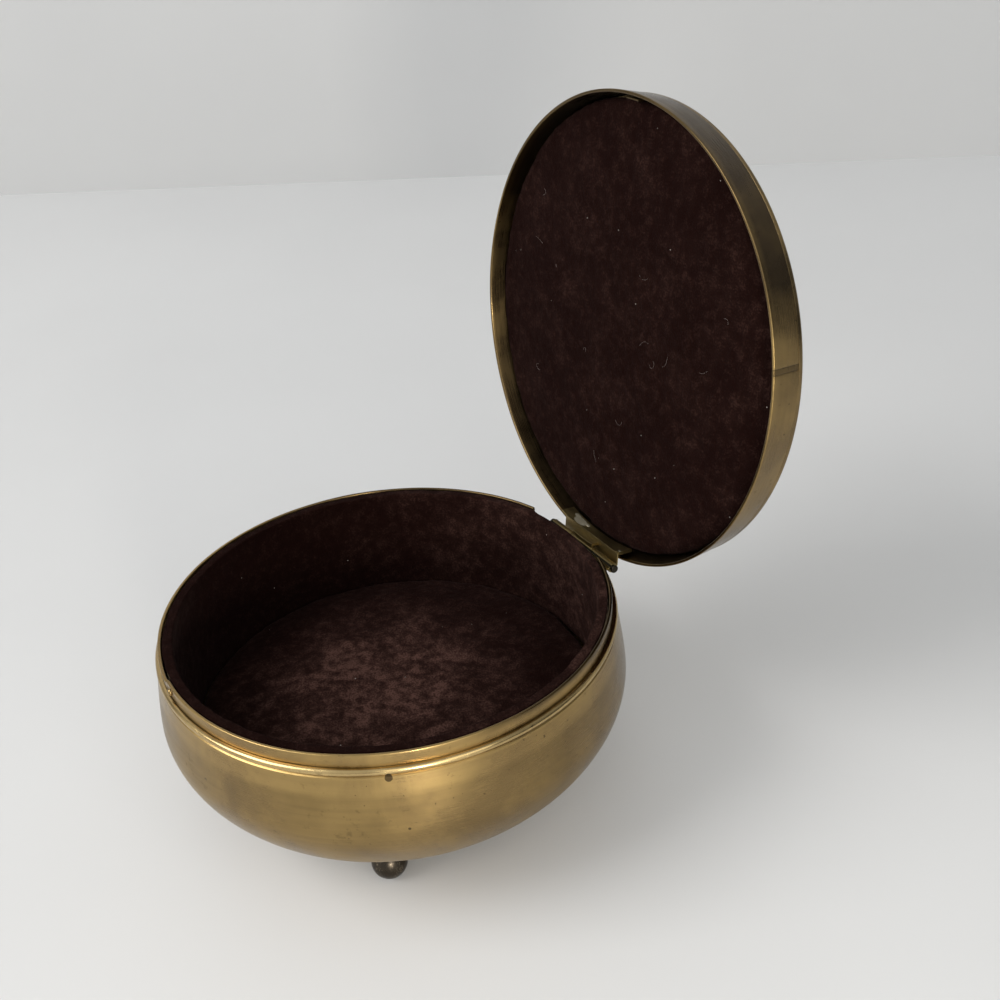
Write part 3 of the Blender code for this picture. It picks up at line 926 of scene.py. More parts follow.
    def collar_darkening(self, point: Vector) -> float:
        """How far a point of the collar is darkened: most at the top edge towards the back, with a
        little noise.

        Args:
            point: The point, in modelling space.

        Returns:
            How dark it is, from 0 to 1, before it is kept in that span.
        """
        back = smooth_step(abs(azimuth_of(point)), *self.dark_azimuths)
        high = smooth_step(point.z, self.collar_top - 1.6 * MM, self.collar_top - 0.5 * MM)
        return 0.78 * back * high + 0.12 * noise.noise(point / (5 * MM))

    def build_bead(self) -> None:
        """The half-round bead that the closed lid comes down to."""
        inner = self.collar_radius + FIT_GAP / 2
        middle = self.bead_foot + self.bead_height / 2
        turns = [math.pi / 2 - math.pi * step / 12 for step in range(13)]
        half_round = [
            (self.collar_radius + FIT_GAP + self.bead_reach * math.cos(turn),
             middle + self.bead_height / 2 * math.sin(turn))
            for turn in turns
        ]
        ends = [(inner, self.bead_foot), (inner, self.bead_foot + self.bead_height)]
        shape = ring_past_hinge([*half_round, *ends])
        uneven(shape, amount=0.05 * MM, size=7 * MM, seed=8.0)
        spots = (Spot.at(*self.bead_spot),)
        finish = Brass(BRIGHT.clean, BRIGHT.dull, roughness=0.2, stained=0.4, spots=spots)
        make_piece("bead", shape, self.setting, finish, ["bead_ring"])

    def build_feet(self) -> None:
        """The ball feet, each with its stud and a fillet of solder under the bowl."""
        lower = math.acos(self.ball_flat / self.ball_radius)
        middle = self.ball_radius * math.sin(lower)
        neck = 1.5 * self.stud_radius
        upper = math.acos(neck / self.ball_radius)
        turns = [upper - (upper + lower) * step / 32 for step in range(33)]
        ball = [(self.ball_radius * math.cos(turn), middle + self.ball_radius * math.sin(turn))
                for turn in turns]
        skirt = (1.9 * self.stud_radius, self.underside)
        stud = [(0.0, self.stud_top), (self.stud_radius, self.stud_top),
                (self.stud_radius, self.underside), skirt]
        profile = [*softened([*stud, ball[0]], 0.2 * MM, ring=False), *ball[1:], (0.0, 0.0)]
        for side, azimuth in self.foot_azimuths:
            shape = spun(profile, ring=False, steps=64)
            uneven(shape, amount=0.03 * MM, size=2.5 * MM, seed=azimuth)
            bmesh.ops.translate(shape, verts=shape.verts, vec=toward(azimuth, self.foot_circle))
            make_piece(f"foot_{side}", shape, self.setting, BRONZE,
                       [f"ball_foot_{side}"])
            dress_node(f"foot_nut_{side}", self.setting, STEEL)

    def build(self) -> None:
        """Builds every piece of the bowl."""
        self.build_shell()
        self.build_collar()
        self.build_bead()
        self.build_feet()


@dataclass
class Padding:
    """How a cloth simulation plumps a soft shape."""

    voxel: float = 1.1 * MM
    scale: float = 10.0
    calming: int = 6
    pressure: float = 4.0
    frames: int = 20
    cap: float = 0.6 * MM

    def plump(self, shape: bmesh.types.BMesh) -> bmesh.types.BMesh:
        """Remeshes a closed soft shape, swells it as cloth and smooths it.

        Args:
            shape: The shape, which this frees.

        Returns:
            The plumped shape.
        """
        mesh = bpy.data.meshes.new("soft")
        shape.to_mesh(mesh)
        shape.free()
        mesh.transform(Matrix.Scale(self.scale, 4))
        soft = bpy.data.objects.new("soft", mesh)
        bpy.context.scene.collection.objects.link(soft)
        remesh = soft.modifiers.new("even", "REMESH")
        remesh.mode = "VOXEL"
        remesh.voxel_size = self.voxel * self.scale
        self.keep(soft)
        before = np.array([vert.co for vert in soft.data.vertices])
        self.simulate(soft)
        moved = np.array([vert.co for vert in soft.data.vertices]) - before
        length = np.linalg.norm(moved, axis=1, keepdims=True)
        limit = self.cap * self.scale
        kept = before + moved * np.minimum(1.0, limit / np.maximum(length, 1e-9))
        soft.data.vertices.foreach_set("co", kept.ravel())
        calm = soft.modifiers.new("calm", "SMOOTH")
        calm.factor = 0.5
        calm.iterations = self.calming
        subdivision = soft.modifiers.new("fine", "SUBSURF")
        subdivision.levels = subdivision.render_levels = 1
        self.keep(soft)
        soft.data.transform(Matrix.Scale(1 / self.scale, 4))
        result = bmesh.new()
        result.from_mesh(soft.data)
        bpy.data.objects.remove(soft)
        return result

    @staticmethod
    def cut_off(shape: bmesh.types.BMesh, height: float, above: bool) -> None:
        """Cuts off what lies above or below a height, and leaves the shape open there.

        Args:
            shape: The shape, in modelling space.
            height: Where the cut is.
            above: Whether the upper part goes.
        """
        geom = [*shape.verts, *shape.edges, *shape.faces]
        bmesh.ops.bisect_plane(shape, geom=geom, dist=MERGE, plane_co=(0, 0, height),
                               plane_no=(0, 0, 1), clear_outer=above, clear_inner=not above)

    def simulate(self, soft: bpy.types.Object) -> None:
        """Runs the cloth for its frames and applies it.

        Args:
            soft: The object.
        """
        cloth = soft.modifiers.new("cloth", "CLOTH")
        cloth.settings.use_pressure = True
        cloth.settings.uniform_pressure_force = self.pressure
        cloth.settings.effector_weights.gravity = 0.0
        cloth.settings.quality = 5
        scene = bpy.context.scene
        for step in range(1, self.frames + 1):
            scene.frame_set(step)
        self.keep(soft)
        scene.frame_set(1)

    @staticmethod
    def keep(soft: bpy.types.Object) -> None:
        """Applies an object's modifiers.

        Args:
            soft: The object.
        """
        graph = bpy.context.evaluated_depsgraph_get()
        mesh = bpy.data.meshes.new_from_object(soft.evaluated_get(graph))
        soft.modifiers.clear()
        soft.data = mesh


@dataclass
class Lining:
    """The velvet inside the bowl, with its card and wadding."""

    setting: Setting
    wall_outer: float = 48.1 * MM
    wall_inner: float = 46.9 * MM
    card_outer: float = 49.0 * MM
    card_inner: float = 48.4 * MM
    top: float = 50.1 * MM
    dip_depth: float = 0.6 * MM
    dip_half: float = 13.5 * MM
    floor_radius: float = 46.6 * MM
    wadding_radius: float = 45.1 * MM
    floor_crown: float = 2.0 * MM
    pile: float = 1.2 * MM
    # Middle and reach of the floor's lighter patch: the pile lies flatter there, and light is
    # painted there too.
    pressed_and_lit_centre: tuple[float, float, float] = (0.0, -5.0 * MM, 27.0 * MM)
    pressed_and_lit_radius: float = 41.0 * MM
    # The wall's lighter patch at the back: the pile is brushed there, and light is painted there,
    # with the wall away from it painted into shade.
    brushed_and_lit_azimuth: float = 158.0
    brushed_and_lit_radius: float = 92.0 * MM
    card_drop: float = 1.3 * MM
    roll_radius: float = 49.05 * MM

    def dip(self, shape: bmesh.types.BMesh) -> None:
        """Lowers the top edge at the hinge.

        Args:
            shape: The shape, in modelling space.
        """
        for vert in shape.verts:
            if vert.co.y > 0:
                beside = 1 - smooth_step(abs(vert.co.x), self.dip_half - 2 * MM, self.dip_half)
                high = smooth_step(vert.co.z, self.top - 9 * MM, self.top)
                vert.co.z -= self.dip_depth * beside * high

    def build_wall(self) -> None:
        """The velvet round the wall, rolled over at its top, and the card behind it."""
        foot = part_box("wall_velvet")[0].z
        rows, rise = 44, self.top - foot
        face = [(self.wall_inner, foot + rise * step / rows) for step in range(rows + 1)]
        under_roll = self.top - self.card_drop + FIT_GAP
        back = [(self.roll_radius, self.top), (self.roll_radius, under_roll),
                (self.wall_outer, under_roll - 0.2 * MM), (self.wall_outer, foot)]
        shape = spun(softened([*face, *back], 0.45 * MM), steps=420)
        uneven(shape, amount=0.18 * MM, size=1.6 * MM, seed=1.0)
        uneven(shape, amount=0.22 * MM, size=7 * MM, seed=2.0)
        self.dip(shape)
        for vert in shape.verts:
            reach = vert.co.xy.length
            limit = self.roll_radius if vert.co.z > under_roll - self.dip_depth else self.wall_outer
            vert.co.xy *= min(1.0, (limit + 0.1 * MM) / reach)
        # Painted light on the back of the wall round this point and painted shade on the wall away
        # from it, with little lighter pile elsewhere as painted shade.
        brushed = tuple(toward(self.brushed_and_lit_azimuth, self.wall_inner, self.top))
        finish = Velvet(crushed_and_lit=0.48, tips=0.10, pressed_and_lit_centre=brushed,
                        pressed_and_lit_radius=self.brushed_and_lit_radius)
        wall = make_piece("velvet_wall", shape, self.setting, finish, ["wall_velvet"])
        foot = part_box("wall_card")[0].z
        top = self.top - self.card_drop
        corners = [(self.card_outer, top), (self.card_outer, foot), (self.card_inner, foot),
                   (self.card_inner, top)]
        shape = spun(softened(corners, 0.1 * MM))
        self.dip(shape)
        make_piece("card_wall", shape, self.setting, CARD, ["wall_card"])

    def build_floor(self) -> None:
        """The padded floor, its wadding and its card."""
        low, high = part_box("floor_velvet")
        edge, rise = high.z - self.floor_crown, self.floor_crown
        shares = [step / 24 for step in range(25)]
        radius = self.floor_radius - 0.25 * MM
        top = [(radius * share, edge + rise * (1 - share**2) - 0.2 * MM) for share in shares]
        foot = low.z - 2 * self.pile
        base = [(radius, foot), (0.0, foot)]
        shape = Padding().plump(spun(softened([*top, *base], 0.9 * MM, ring=False), ring=False))
        Padding.cut_off(shape, low.z, above=False)
        uneven(shape, amount=0.14 * MM, size=1.5 * MM, seed=5.0)
        uneven(shape, amount=0.34 * MM, size=8 * MM, seed=6.0)
        bmesh.ops.recalc_face_normals(shape, faces=shape.faces)
        bmesh.ops.solidify(shape, geom=shape.faces[:], thickness=self.pile - 0.2 * MM)
        # Painted light on the floor: much lighter pile round its middle, where it is lit, fading to
        # painted shade by the walls.
        finish = Velvet(crushed_and_lit=1.45, tips=0.12, pressed_and_lit_centre=self.pressed_and_lit_centre,
                        pressed_and_lit_radius=self.pressed_and_lit_radius)
        pad = make_piece("velvet_floor", shape, self.setting, finish, ["floor_velvet"])
        low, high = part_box("floor_wadding")
        edge = high.z - self.floor_crown
        radius = self.wadding_radius - 0.3 * MM
        top = [(radius * share, edge - 0.3 * MM + rise * (1 - share**2)) for share in shares]
        base = [(radius, low.z), (0.0, low.z)]
        shape = spun(softened([*top, *base], 0.4 * MM, ring=False), ring=False, steps=96)
        uneven(shape, amount=0.1 * MM, size=3 * MM, seed=7.0)
        wad = make_piece("wadding_floor", shape, self.setting, WADDING,
                         ["floor_wadding"])
        dress_node("floor_card", self.setting, CARD)

    def build(self) -> None:
        """Builds the whole lining."""
        self.build_wall()
        self.build_floor()


@dataclass
class Lint:
    """A few fine fibres that cling to the velvet."""

    setting: Setting
    height: float
    count: int
    seed: int
    reach: float = 42.0 * MM
    thickness: float = 0.012 * MM
    points: int = 14

    def fibre(self, drawn: random.Random) -> bmesh.types.BMesh:
        """One curled fibre that lies level at the lint's height.

        Args:
            drawn: The source of random numbers.

        Returns:
            The fibre, closed at its ends.
        """
        centre = toward(drawn.uniform(0, 360), self.reach * math.sqrt(drawn.random()), self.height)
        heading, bend = drawn.uniform(0, math.tau), drawn.uniform(-0.42, 0.42)
        step = drawn.uniform(0.13, 0.30) * MM
        curve = bpy.data.curves.new("fibre", "CURVE")
        curve.dimensions = "3D"
        curve.bevel_depth = self.thickness
        curve.bevel_resolution = 1
        spline = curve.splines.new("POLY")
        spline.points.add(self.points - 1)
        place = centre
        for point in spline.points:
            point.co = (*place, 1.0)
            heading += bend + drawn.uniform(-0.25, 0.25)
            rise = drawn.uniform(-0.05, 0.05) * MM
            place = place + Vector((math.cos(heading) * step, math.sin(heading) * step, rise))
        holder = bpy.data.objects.new("fibre", curve)
        bpy.context.scene.collection.objects.link(holder)
        graph = bpy.context.evaluated_depsgraph_get()
        mesh = bpy.data.meshes.new_from_object(holder.evaluated_get(graph))
        shape = bmesh.new()
        shape.from_mesh(mesh)
        bmesh.ops.holes_fill(shape, edges=[edge for edge in shape.edges if edge.is_boundary])
        bmesh.ops.recalc_face_normals(shape, faces=shape.faces)
        bpy.data.objects.remove(holder)
        return shape

    def build(self, name: str) -> None:
        """Builds all the fibres as one piece.

        Args:
            name: The piece's name.
        """
        drawn = random.Random(self.seed)
        shape = join(self.fibre(drawn) for _ in range(self.count))
        make_piece(name, shape, self.setting, LINT)


@dataclass
class Lid:
    """The lid's band and bezel, and what they hold."""

    setting: Setting
    edge: float = 47.7 * MM
    top: float = 55.1 * MM
    edge_radius: float = 52.9 * MM
    top_radius: float = 51.8 * MM
    bezel_opening: float = 47.6 * MM
    bezel_roll: tuple[tuple[float, float], ...] = (
        (51.8, 55.9), (51.55, 56.3), (51.0, 56.52), (50.2, 56.6), (49.4, 56.45), (49.0, 56.15),
        (48.7, 56.1), (48.4, 56.3), (48.05, 56.42), (47.7, 56.3), (47.6, 55.95),
    )
    milled_radius: float = 48.6 * MM
    milled_waves: int = 144
    milled_slant: float = 2.5
    milled_height: float = 0.09 * MM
    seam_azimuth: float = 79.4
    seam_half: float = 0.62
    groove_depth: float = 0.06 * MM
    # Azimuths before the seam where the painted shade at the front fades out into the painted
    # highlight.
    front_fade: tuple[float, float] = (19.0, 9.0)
    # Azimuths where painted shade comes back towards the hinge.
    hind_azimuths: tuple[float, float] = (115.0, 150.0)
    velvet_face: float = 50.7 * MM
    velvet_back: float = 51.9 * MM
    velvet_radius: float = 51.4 * MM
    pillow: float = 0.7 * MM
    pillow_radius: float = 46.9 * MM
    padding_foot: float = 53.9 * MM
    padding_radius: float = 46.7 * MM
    crown: float = 2.4 * MM

    def build_band(self) -> None:
        """The side band, with a soldered seam."""
        rows = 8
        rise, inset = self.top - self.edge, self.edge_radius - self.top_radius
        shares = [step / rows for step in range(rows + 1)]
        shares.insert(1, 0.015)
        outer = [(self.top_radius + inset * share, self.top - rise * share) for share in shares]
        inner = [(radius - SHEET, height) for radius, height in reversed(outer)]
        shape = spun(softened([*outer, *inner], 0.28 * MM))
        for turn in (-1.5, -1.2, -1.0, -0.8, -0.4, 0.0, 0.4, 0.8, 1.0, 1.2, 1.5):
            normal = toward(self.seam_azimuth + turn * self.seam_half + 90, 1.0)
            geom = [*shape.verts, *shape.edges, *shape.faces]
            bmesh.ops.bisect_plane(shape, geom=geom, dist=MERGE, plane_co=(0, 0, 0),
                                   plane_no=normal)
        for vert in shape.verts:
            if self.seam_depth(vert.co):
                inward = -vert.co.xy.normalized().to_3d()
                vert.co += inward * self.groove_depth * self.seam_depth(vert.co)
        mark_darkening(shape, self.band_tarnish_and_painted_shade)
        uneven(shape, amount=0.05 * MM, size=16 * MM, seed=3.0)
        make_piece("lid_side", shape, self.setting, BRASS, ["lid_band"])

    def band_tarnish_and_painted_shade(self, point: Vector) -> float:
        """How far a point of the band is darkened: painted shade at its front, behind the seam and
        on its inner face, and a painted highlight just before the seam, where it is left lightest.
        Tarnish clouds, a lighter worn edge and the seam's dark grooves come on top.

        Args:
            point: The point, in modelling space.

        Returns:
            How dark it is, from 0 to 1, before it is kept in that span.
        """
        azimuth = azimuth_of(point)
        # Painted shade and highlight round the band: dark at the front, lightest just before the
        # seam, darker again behind it and towards the hinge.
        fade_start, fade_end = (self.seam_azimuth - before for before in self.front_fade)
        front = 1 - smooth_step(abs(azimuth), fade_start, fade_end)
        behind = smooth_step(abs(azimuth), self.seam_azimuth - 3, self.seam_azimuth)
        hind = smooth_step(abs(azimuth), *self.hind_azimuths)
        # Painted shade on the band's inner face.
        inset = self.edge_radius - self.top_radius
        wall = self.edge_radius - inset * ((point.z - self.edge) / (self.top - self.edge))
        inside = smooth_step(wall - point.xy.length, 0.2 * MM, 0.6 * MM)
        cloud = 0.14 * noise.noise(point / (6 * MM)) + 0.06 * noise.noise(point / (2 * MM))
        worn_edge = 1 - smooth_step(point.z, self.edge + 0.7 * MM, self.edge + 1.5 * MM)
        dark = 0.14 + 0.80 * front + 0.24 * behind + 0.16 * hind + 0.42 * inside + cloud
        return max(self.seam_depth(point), min(0.97, dark) * (1 - 0.22 * worn_edge))

    def seam_depth(self, point: Vector) -> float:
        """How deep in the seam's two grooves a point of the band is, from 0 to 1.

        Args:
            point: The point, in modelling space.

        Returns:
            The depth, with a step between the grooves.
        """
        across = abs(azimuth_of(point) - self.seam_azimuth) / self.seam_half
        groove = max(0.0, 1 - abs(across - 1.0) / 0.35)
        between = 0.68 if across < 1.0 else 0.0
        return max(groove, between)

    def build_bezel(self) -> None:
        """The rolled edge, with a milled inner lip that holds the needlework."""
        foot = self.top + 0.02 * MM
        roll = [(radius * MM, height * MM) for radius, height in self.bezel_roll]
        outline = [(self.top_radius, foot), (self.top_radius, foot + 0.08 * MM), *roll,
                   (self.bezel_opening, self.top + FIT_GAP)]
        shape = spun(softened(outline, 0.12 * MM, arc_steps=2), steps=576)
        for vert in shape.verts:
            radius = vert.co.xy.length
            on_lip = smooth_step(self.milled_radius - radius, 0.0, 0.3 * MM)
            turn = math.radians(azimuth_of(vert.co))
            wave = math.cos(turn * self.milled_waves + (radius / MM) * self.milled_slant)
            on_top = vert.co.z > self.top + 0.8 * MM
            vert.co.z += self.milled_height * wave * on_lip * on_top
        mark_darkening(shape, lambda point: 0.30 + 0.25 * noise.noise(point / (7 * MM)))
        make_piece("lid_edge_roll", shape, self.setting, LID_EDGE, ["lid_bezel"])

    def build_velvet(self) -> None:
        """The velvet disc inside, pillowed towards the bowl."""
        shares = [step / 24 for step in range(25)]
        face = [(self.pillow_radius * share, self.velvet_face - self.pillow * (1 - share**4))
                for share in shares]
        back = self.velvet_back + 2 * self.pillow
        rim = [(self.velvet_radius, self.velvet_face), (self.velvet_radius, back), (0.0, back)]
        shape = spun(softened([*face, *rim], 0.5 * MM, ring=False), ring=False)
        shape = Padding(voxel=1.0 * MM, cap=0.3 * MM).plump(shape)
        Padding.cut_off(shape, self.velvet_back, above=True)
        rim = [edge for edge in shape.edges if edge.is_boundary]
        bmesh.ops.contextual_create(shape, geom=rim)
        bmesh.ops.recalc_face_normals(shape, faces=shape.faces)
        uneven(shape, amount=0.14 * MM, size=1.5 * MM, seed=9.0)
        uneven(shape, amount=0.25 * MM, size=9 * MM, seed=10.0)
        finish = Velvet(crushed_and_lit=0.13, tips=0.13)
        pad = make_piece("velvet_lid", shape, self.setting, finish, ["lid_velvet"])

    def build_layers(self) -> None:
        """The wadding under the needlework, and the card and plate behind the velvet."""
        shares = [step / 20 for step in range(21)]
        edge = self.padding_foot + FIT_GAP
        top = [(self.padding_radius * share, edge + self.crown * (1 - share**2))
               for share in shares]
        base = [(self.padding_radius, self.padding_foot), (0.0, self.padding_foot)]
        shape = spun([*top, *base], ring=False, steps=96)
        uneven(shape, amount=0.06 * MM, size=3 * MM, seed=11.0)
        wad = make_piece("wadding_lid", shape, self.setting, WADDING, ["lid_padding"])
        dress_node("lid_card", self.setting, CARD)
        dress_node("lid_plate", self.setting, STEEL)

    def build(self) -> None:
        """Builds the lid's pieces but its needlework."""
        self.build_band()
        self.build_bezel()
        self.build_velvet()
        self.build_layers()


class Thread(Enum):
    """The thread colours of the needlework."""

    GROUND = (0.012, 0.011, 0.012)
    GOLD = (0.52, 0.36, 0.12)
    PALE_GOLD = (0.66, 0.53, 0.27)
    WINE = (0.19, 0.014, 0.028)
    ROSE = (0.47, 0.065, 0.095)
    PINK = (0.70, 0.24, 0.26)
    BLUSH = (0.82, 0.52, 0.47)
    LEAF_DARK = (0.030, 0.075, 0.030)
    LEAF = (0.085, 0.17, 0.055)
    LEAF_PALE = (0.26, 0.33, 0.13)
    BLUE = (0.12, 0.21, 0.45)
    SKY = (0.32, 0.46, 0.66)
    YELLOW = (0.75, 0.54, 0.12)


class Motif(Enum):
    """The forms that the needlework's design is made of."""

    ROSE = "rose"
    LEAF = "leaf"
    BLOSSOM = "blossom"


@dataclass(frozen=True)
class Figure:
    """One motif of the design, placed on the panel in millimetres and degrees."""

    motif: Motif
    x: float
    y: float
    size: float
    turn: float = 0.0

    def thread(self, x: float, y: float) -> Thread | None:
        """The thread of the stitch at a place, or None if it is outside the motif.

        Args:
            x: The place across, in millimetres.
            y: The place along, in millimetres.

        Returns:
            The thread, or None.
        """
        side = Vector((x - self.x, y - self.y)) / self.size
        turned = Matrix.Rotation(-math.radians(self.turn), 2) @ side
        draw = {Motif.ROSE: self.rose, Motif.LEAF: self.leaf, Motif.BLOSSOM: self.blossom}
        return draw[self.motif](turned.x, turned.y)

    @staticmethod
    def rose(x: float, y: float) -> Thread | None:
        """A full rose seen from above, its petals wound round a dark heart.

        Args:
            x: The place across, in shares of the motif's size.
            y: The place along, in the same shares.

        Returns:
            The thread, or None outside it.
        """
        reach, angle = math.hypot(x, y), math.atan2(y, x)
        if reach > 0.93 + 0.07 * math.cos(5 * angle):
            return None
        if reach < 0.16:
            return Thread.WINE
        wound = (2.9 * reach + angle / math.tau + 0.22 * math.sin(3 * angle)) % 1.0
        shades = (Thread.WINE, Thread.ROSE, Thread.PINK, Thread.BLUSH)
        return shades[min(3, int(wound * 4.2))] if reach < 0.86 else Thread.PINK

    @staticmethod
    def leaf(x: float, y: float) -> Thread | None:
        """A pointed leaf along +x with a pale rib.

        Args:
            x: The place across, in shares of the motif's size.
            y: The place along, in the same shares.

        Returns:
            The thread, or None outside it.
        """
        if not 0 < x < 1 or abs(y) > 0.34 * math.sin(math.pi * x**0.8):
            return None
        if abs(y) < 0.05:
            return Thread.LEAF_PALE
        if (x * 6 - abs(y) * 5) % 1.0 < 0.28:
            return Thread.LEAF_PALE
        return Thread.LEAF_DARK if y < 0 else Thread.LEAF

    @staticmethod
    def blossom(x: float, y: float) -> Thread | None:
        """A small flower of five round petals.

        Args:
            x: The place across, in shares of the motif's size.
            y: The place along, in the same shares.

        Returns:
            The thread, or None outside it.
        """
        reach, angle = math.hypot(x, y), math.atan2(y, x)
        if reach < 0.28:
            return Thread.YELLOW
        if reach > 0.55 + 0.45 * abs(math.cos(2.5 * angle)):
            return None
        return Thread.SKY if reach > 0.62 else Thread.BLUE


@dataclass
class Needlework:
    """The domed petit-point panel on the lid: a wreath and a bunch of roses."""

    setting: Setting
    pitch: float = 0.64 * MM
    stitched_radius: float = 48.3 * MM
    canvas_radius: float = 50.8 * MM
    dome_radius: float = 47.3 * MM
    foot: float = 54.5 * MM
    thickness: float = 0.6 * MM
    crown: float = 2.4 * MM
    wreath_radius: float = 33.0
    stem_wave: float = 1.2
    stem_waves: int = 12
    stem_half: float = 0.4
    lattice_radius: float = 43.4
    lattice_wave: float = 1.3
    lattice_waves: int = 28
    lattice_half: float = 0.5
    rails: tuple[tuple[float, float], ...] = ((40.9, 41.6), (45.4, 46.1))

    def design(self) -> list[Figure]:
        """The motifs, the upper ones first.

        Returns:
            The motifs.
        """
        figures = [Figure(Motif.ROSE, 0.0, 1.0, 9.6), Figure(Motif.ROSE, -9.5, -7.5, 6.2, 40),
                   Figure(Motif.ROSE, 9.8, -7.2, 6.4, 110)]
        for index in range(7):
            angle = 360 / 7 * index + 12
            place = toward(angle, 13.8)
            figures.append(Figure(Motif.BLOSSOM, place.x, place.y, 2.7, angle))
        for index in range(10):
            angle = 36 * index
            start = toward(angle, 6.5)
            figures.append(Figure(Motif.LEAF, start.x, start.y, 13.0, angle - 90))
        for index in range(12):
            angle = 30 * index
            place = toward(angle, self.wreath_radius)
            kind, size = (Motif.ROSE, 4.3) if index % 2 == 0 else (Motif.BLOSSOM, 3.1)
            figures.append(Figure(kind, place.x, place.y, size, angle))
        for index in range(24):
            angle = 15 * index + 5
            start = toward(angle, self.wreath_radius)
            figures.append(Figure(Motif.LEAF, start.x, start.y, 6.6, angle + 35 * (-1) ** index))
        return figures

    def thread_at(self, x: float, y: float, figures: list[Figure]) -> Thread:
        """The thread of the stitch at a place in millimetres.

        Args:
            x: The place across.
            y: The place along.
            figures: The design's motifs.

        Returns:
            The thread.
        """
        for figure in figures:
            if max(abs(x - figure.x), abs(y - figure.y)) <= figure.size:
                thread = figure.thread(x, y)
                if thread is not None:
                    return thread
        reach, angle = math.hypot(x, y), math.atan2(y, x)
        for phase, thread in ((0.0, Thread.GOLD), (math.pi, Thread.PALE_GOLD)):
            wave = self.lattice_wave * math.sin(self.lattice_waves * angle + phase)
            if abs(reach - self.lattice_radius - wave) < self.lattice_half:
                return thread
        if any(low < reach < high for low, high in self.rails):
            return Thread.GOLD
        wave = self.stem_wave * math.sin(self.stem_waves * angle)
        if abs(reach - self.wreath_radius - wave) < self.stem_half:
            return Thread.LEAF_DARK
        return Thread.GROUND

    def height(self, reach: float) -> float:
        """The canvas's height at a distance from the axis."""
        share = min(1.0, reach / self.dome_radius)
        return self.foot + self.thickness + self.crown * (1 - share**2)

    def build(self) -> None:
        """Stitches the panel: a canvas with one raised pad for each stitch."""
        cells = 2 * math.ceil(self.canvas_radius / self.pitch)
        shape = bmesh.new()
        bmesh.ops.create_grid(shape, x_segments=cells, y_segments=cells,
                              size=cells * self.pitch / 2)
        outside = [face for face in shape.faces
                   if face.calc_center_median().length > self.canvas_radius - self.pitch / 2]
        bmesh.ops.delete(shape, geom=outside, context="FACES")
        faces = [face for face in shape.faces
                 if face.calc_center_median().length < self.stitched_radius]
        bmesh.ops.inset_individual(shape, faces=faces, thickness=0.13 * self.pitch,
                                   depth=0.30 * self.pitch, use_even_offset=True)
        self.slant(faces)
        self.colour(shape)
        for vert in shape.verts:
            vert.co.z += self.height(vert.co.xy.length)
        rim = [edge for edge in shape.edges if edge.is_boundary]
        lower = bmesh.ops.extrude_edge_only(shape, edges=rim)["geom"]
        below = [item for item in lower if isinstance(item, bmesh.types.BMVert)]
        for vert in below:
            vert.co.z = self.foot
        loop = [item for item in lower if isinstance(item, bmesh.types.BMEdge)]
        bmesh.ops.contextual_create(shape, geom=loop)
        panel = make_piece("needlework_panel", shape, self.setting, Stitched(self.pitch),
                           ["embroidered_panel"])

    def slant(self, tops: Iterable[bmesh.types.BMFace]) -> None:
        """Draws each stitch's top out to one diagonal and makes its height a little uneven.

        Args:
            tops: The stitches' top faces.
        """
        drawn = random.Random(7)
        for face in tops:
            centre = face.calc_center_median()
            lift = drawn.uniform(-0.05, 0.05) * self.pitch
            for vert in face.verts:
                side = vert.co - centre
                slope = 1 if side.x * side.y > 0 else -1
                vert.co += Vector((side.x, side.y, 0.0)) * 0.22 * slope
                vert.co.z += lift - 0.05 * self.pitch * (1 + slope)

    def colour(self, shape: bmesh.types.BMesh) -> None:
        """Stores each stitch's thread colour on its faces.

        Args:
            shape: The shape, in modelling space.
        """
        layer = shape.loops.layers.float_color.new("thread")
        figures = self.design()
        drawn = random.Random(11)
        colours: dict[tuple[int, int], tuple[float, float, float, float]] = {}
        for face in shape.faces:
            centre = face.calc_center_median()
            cell = math.floor(centre.x / self.pitch), math.floor(centre.y / self.pitch)
            if cell not in colours:
                x, y = ((place + 0.5) * self.pitch / MM for place in cell)
                tone = drawn.uniform(0.86, 1.12)
                thread = self.thread_at(x, y, figures).value
                colours[cell] = (*(min(1.0, part * tone) for part in thread), 1.0)
            for loop in face.loops:
                loop[layer] = colours[cell]


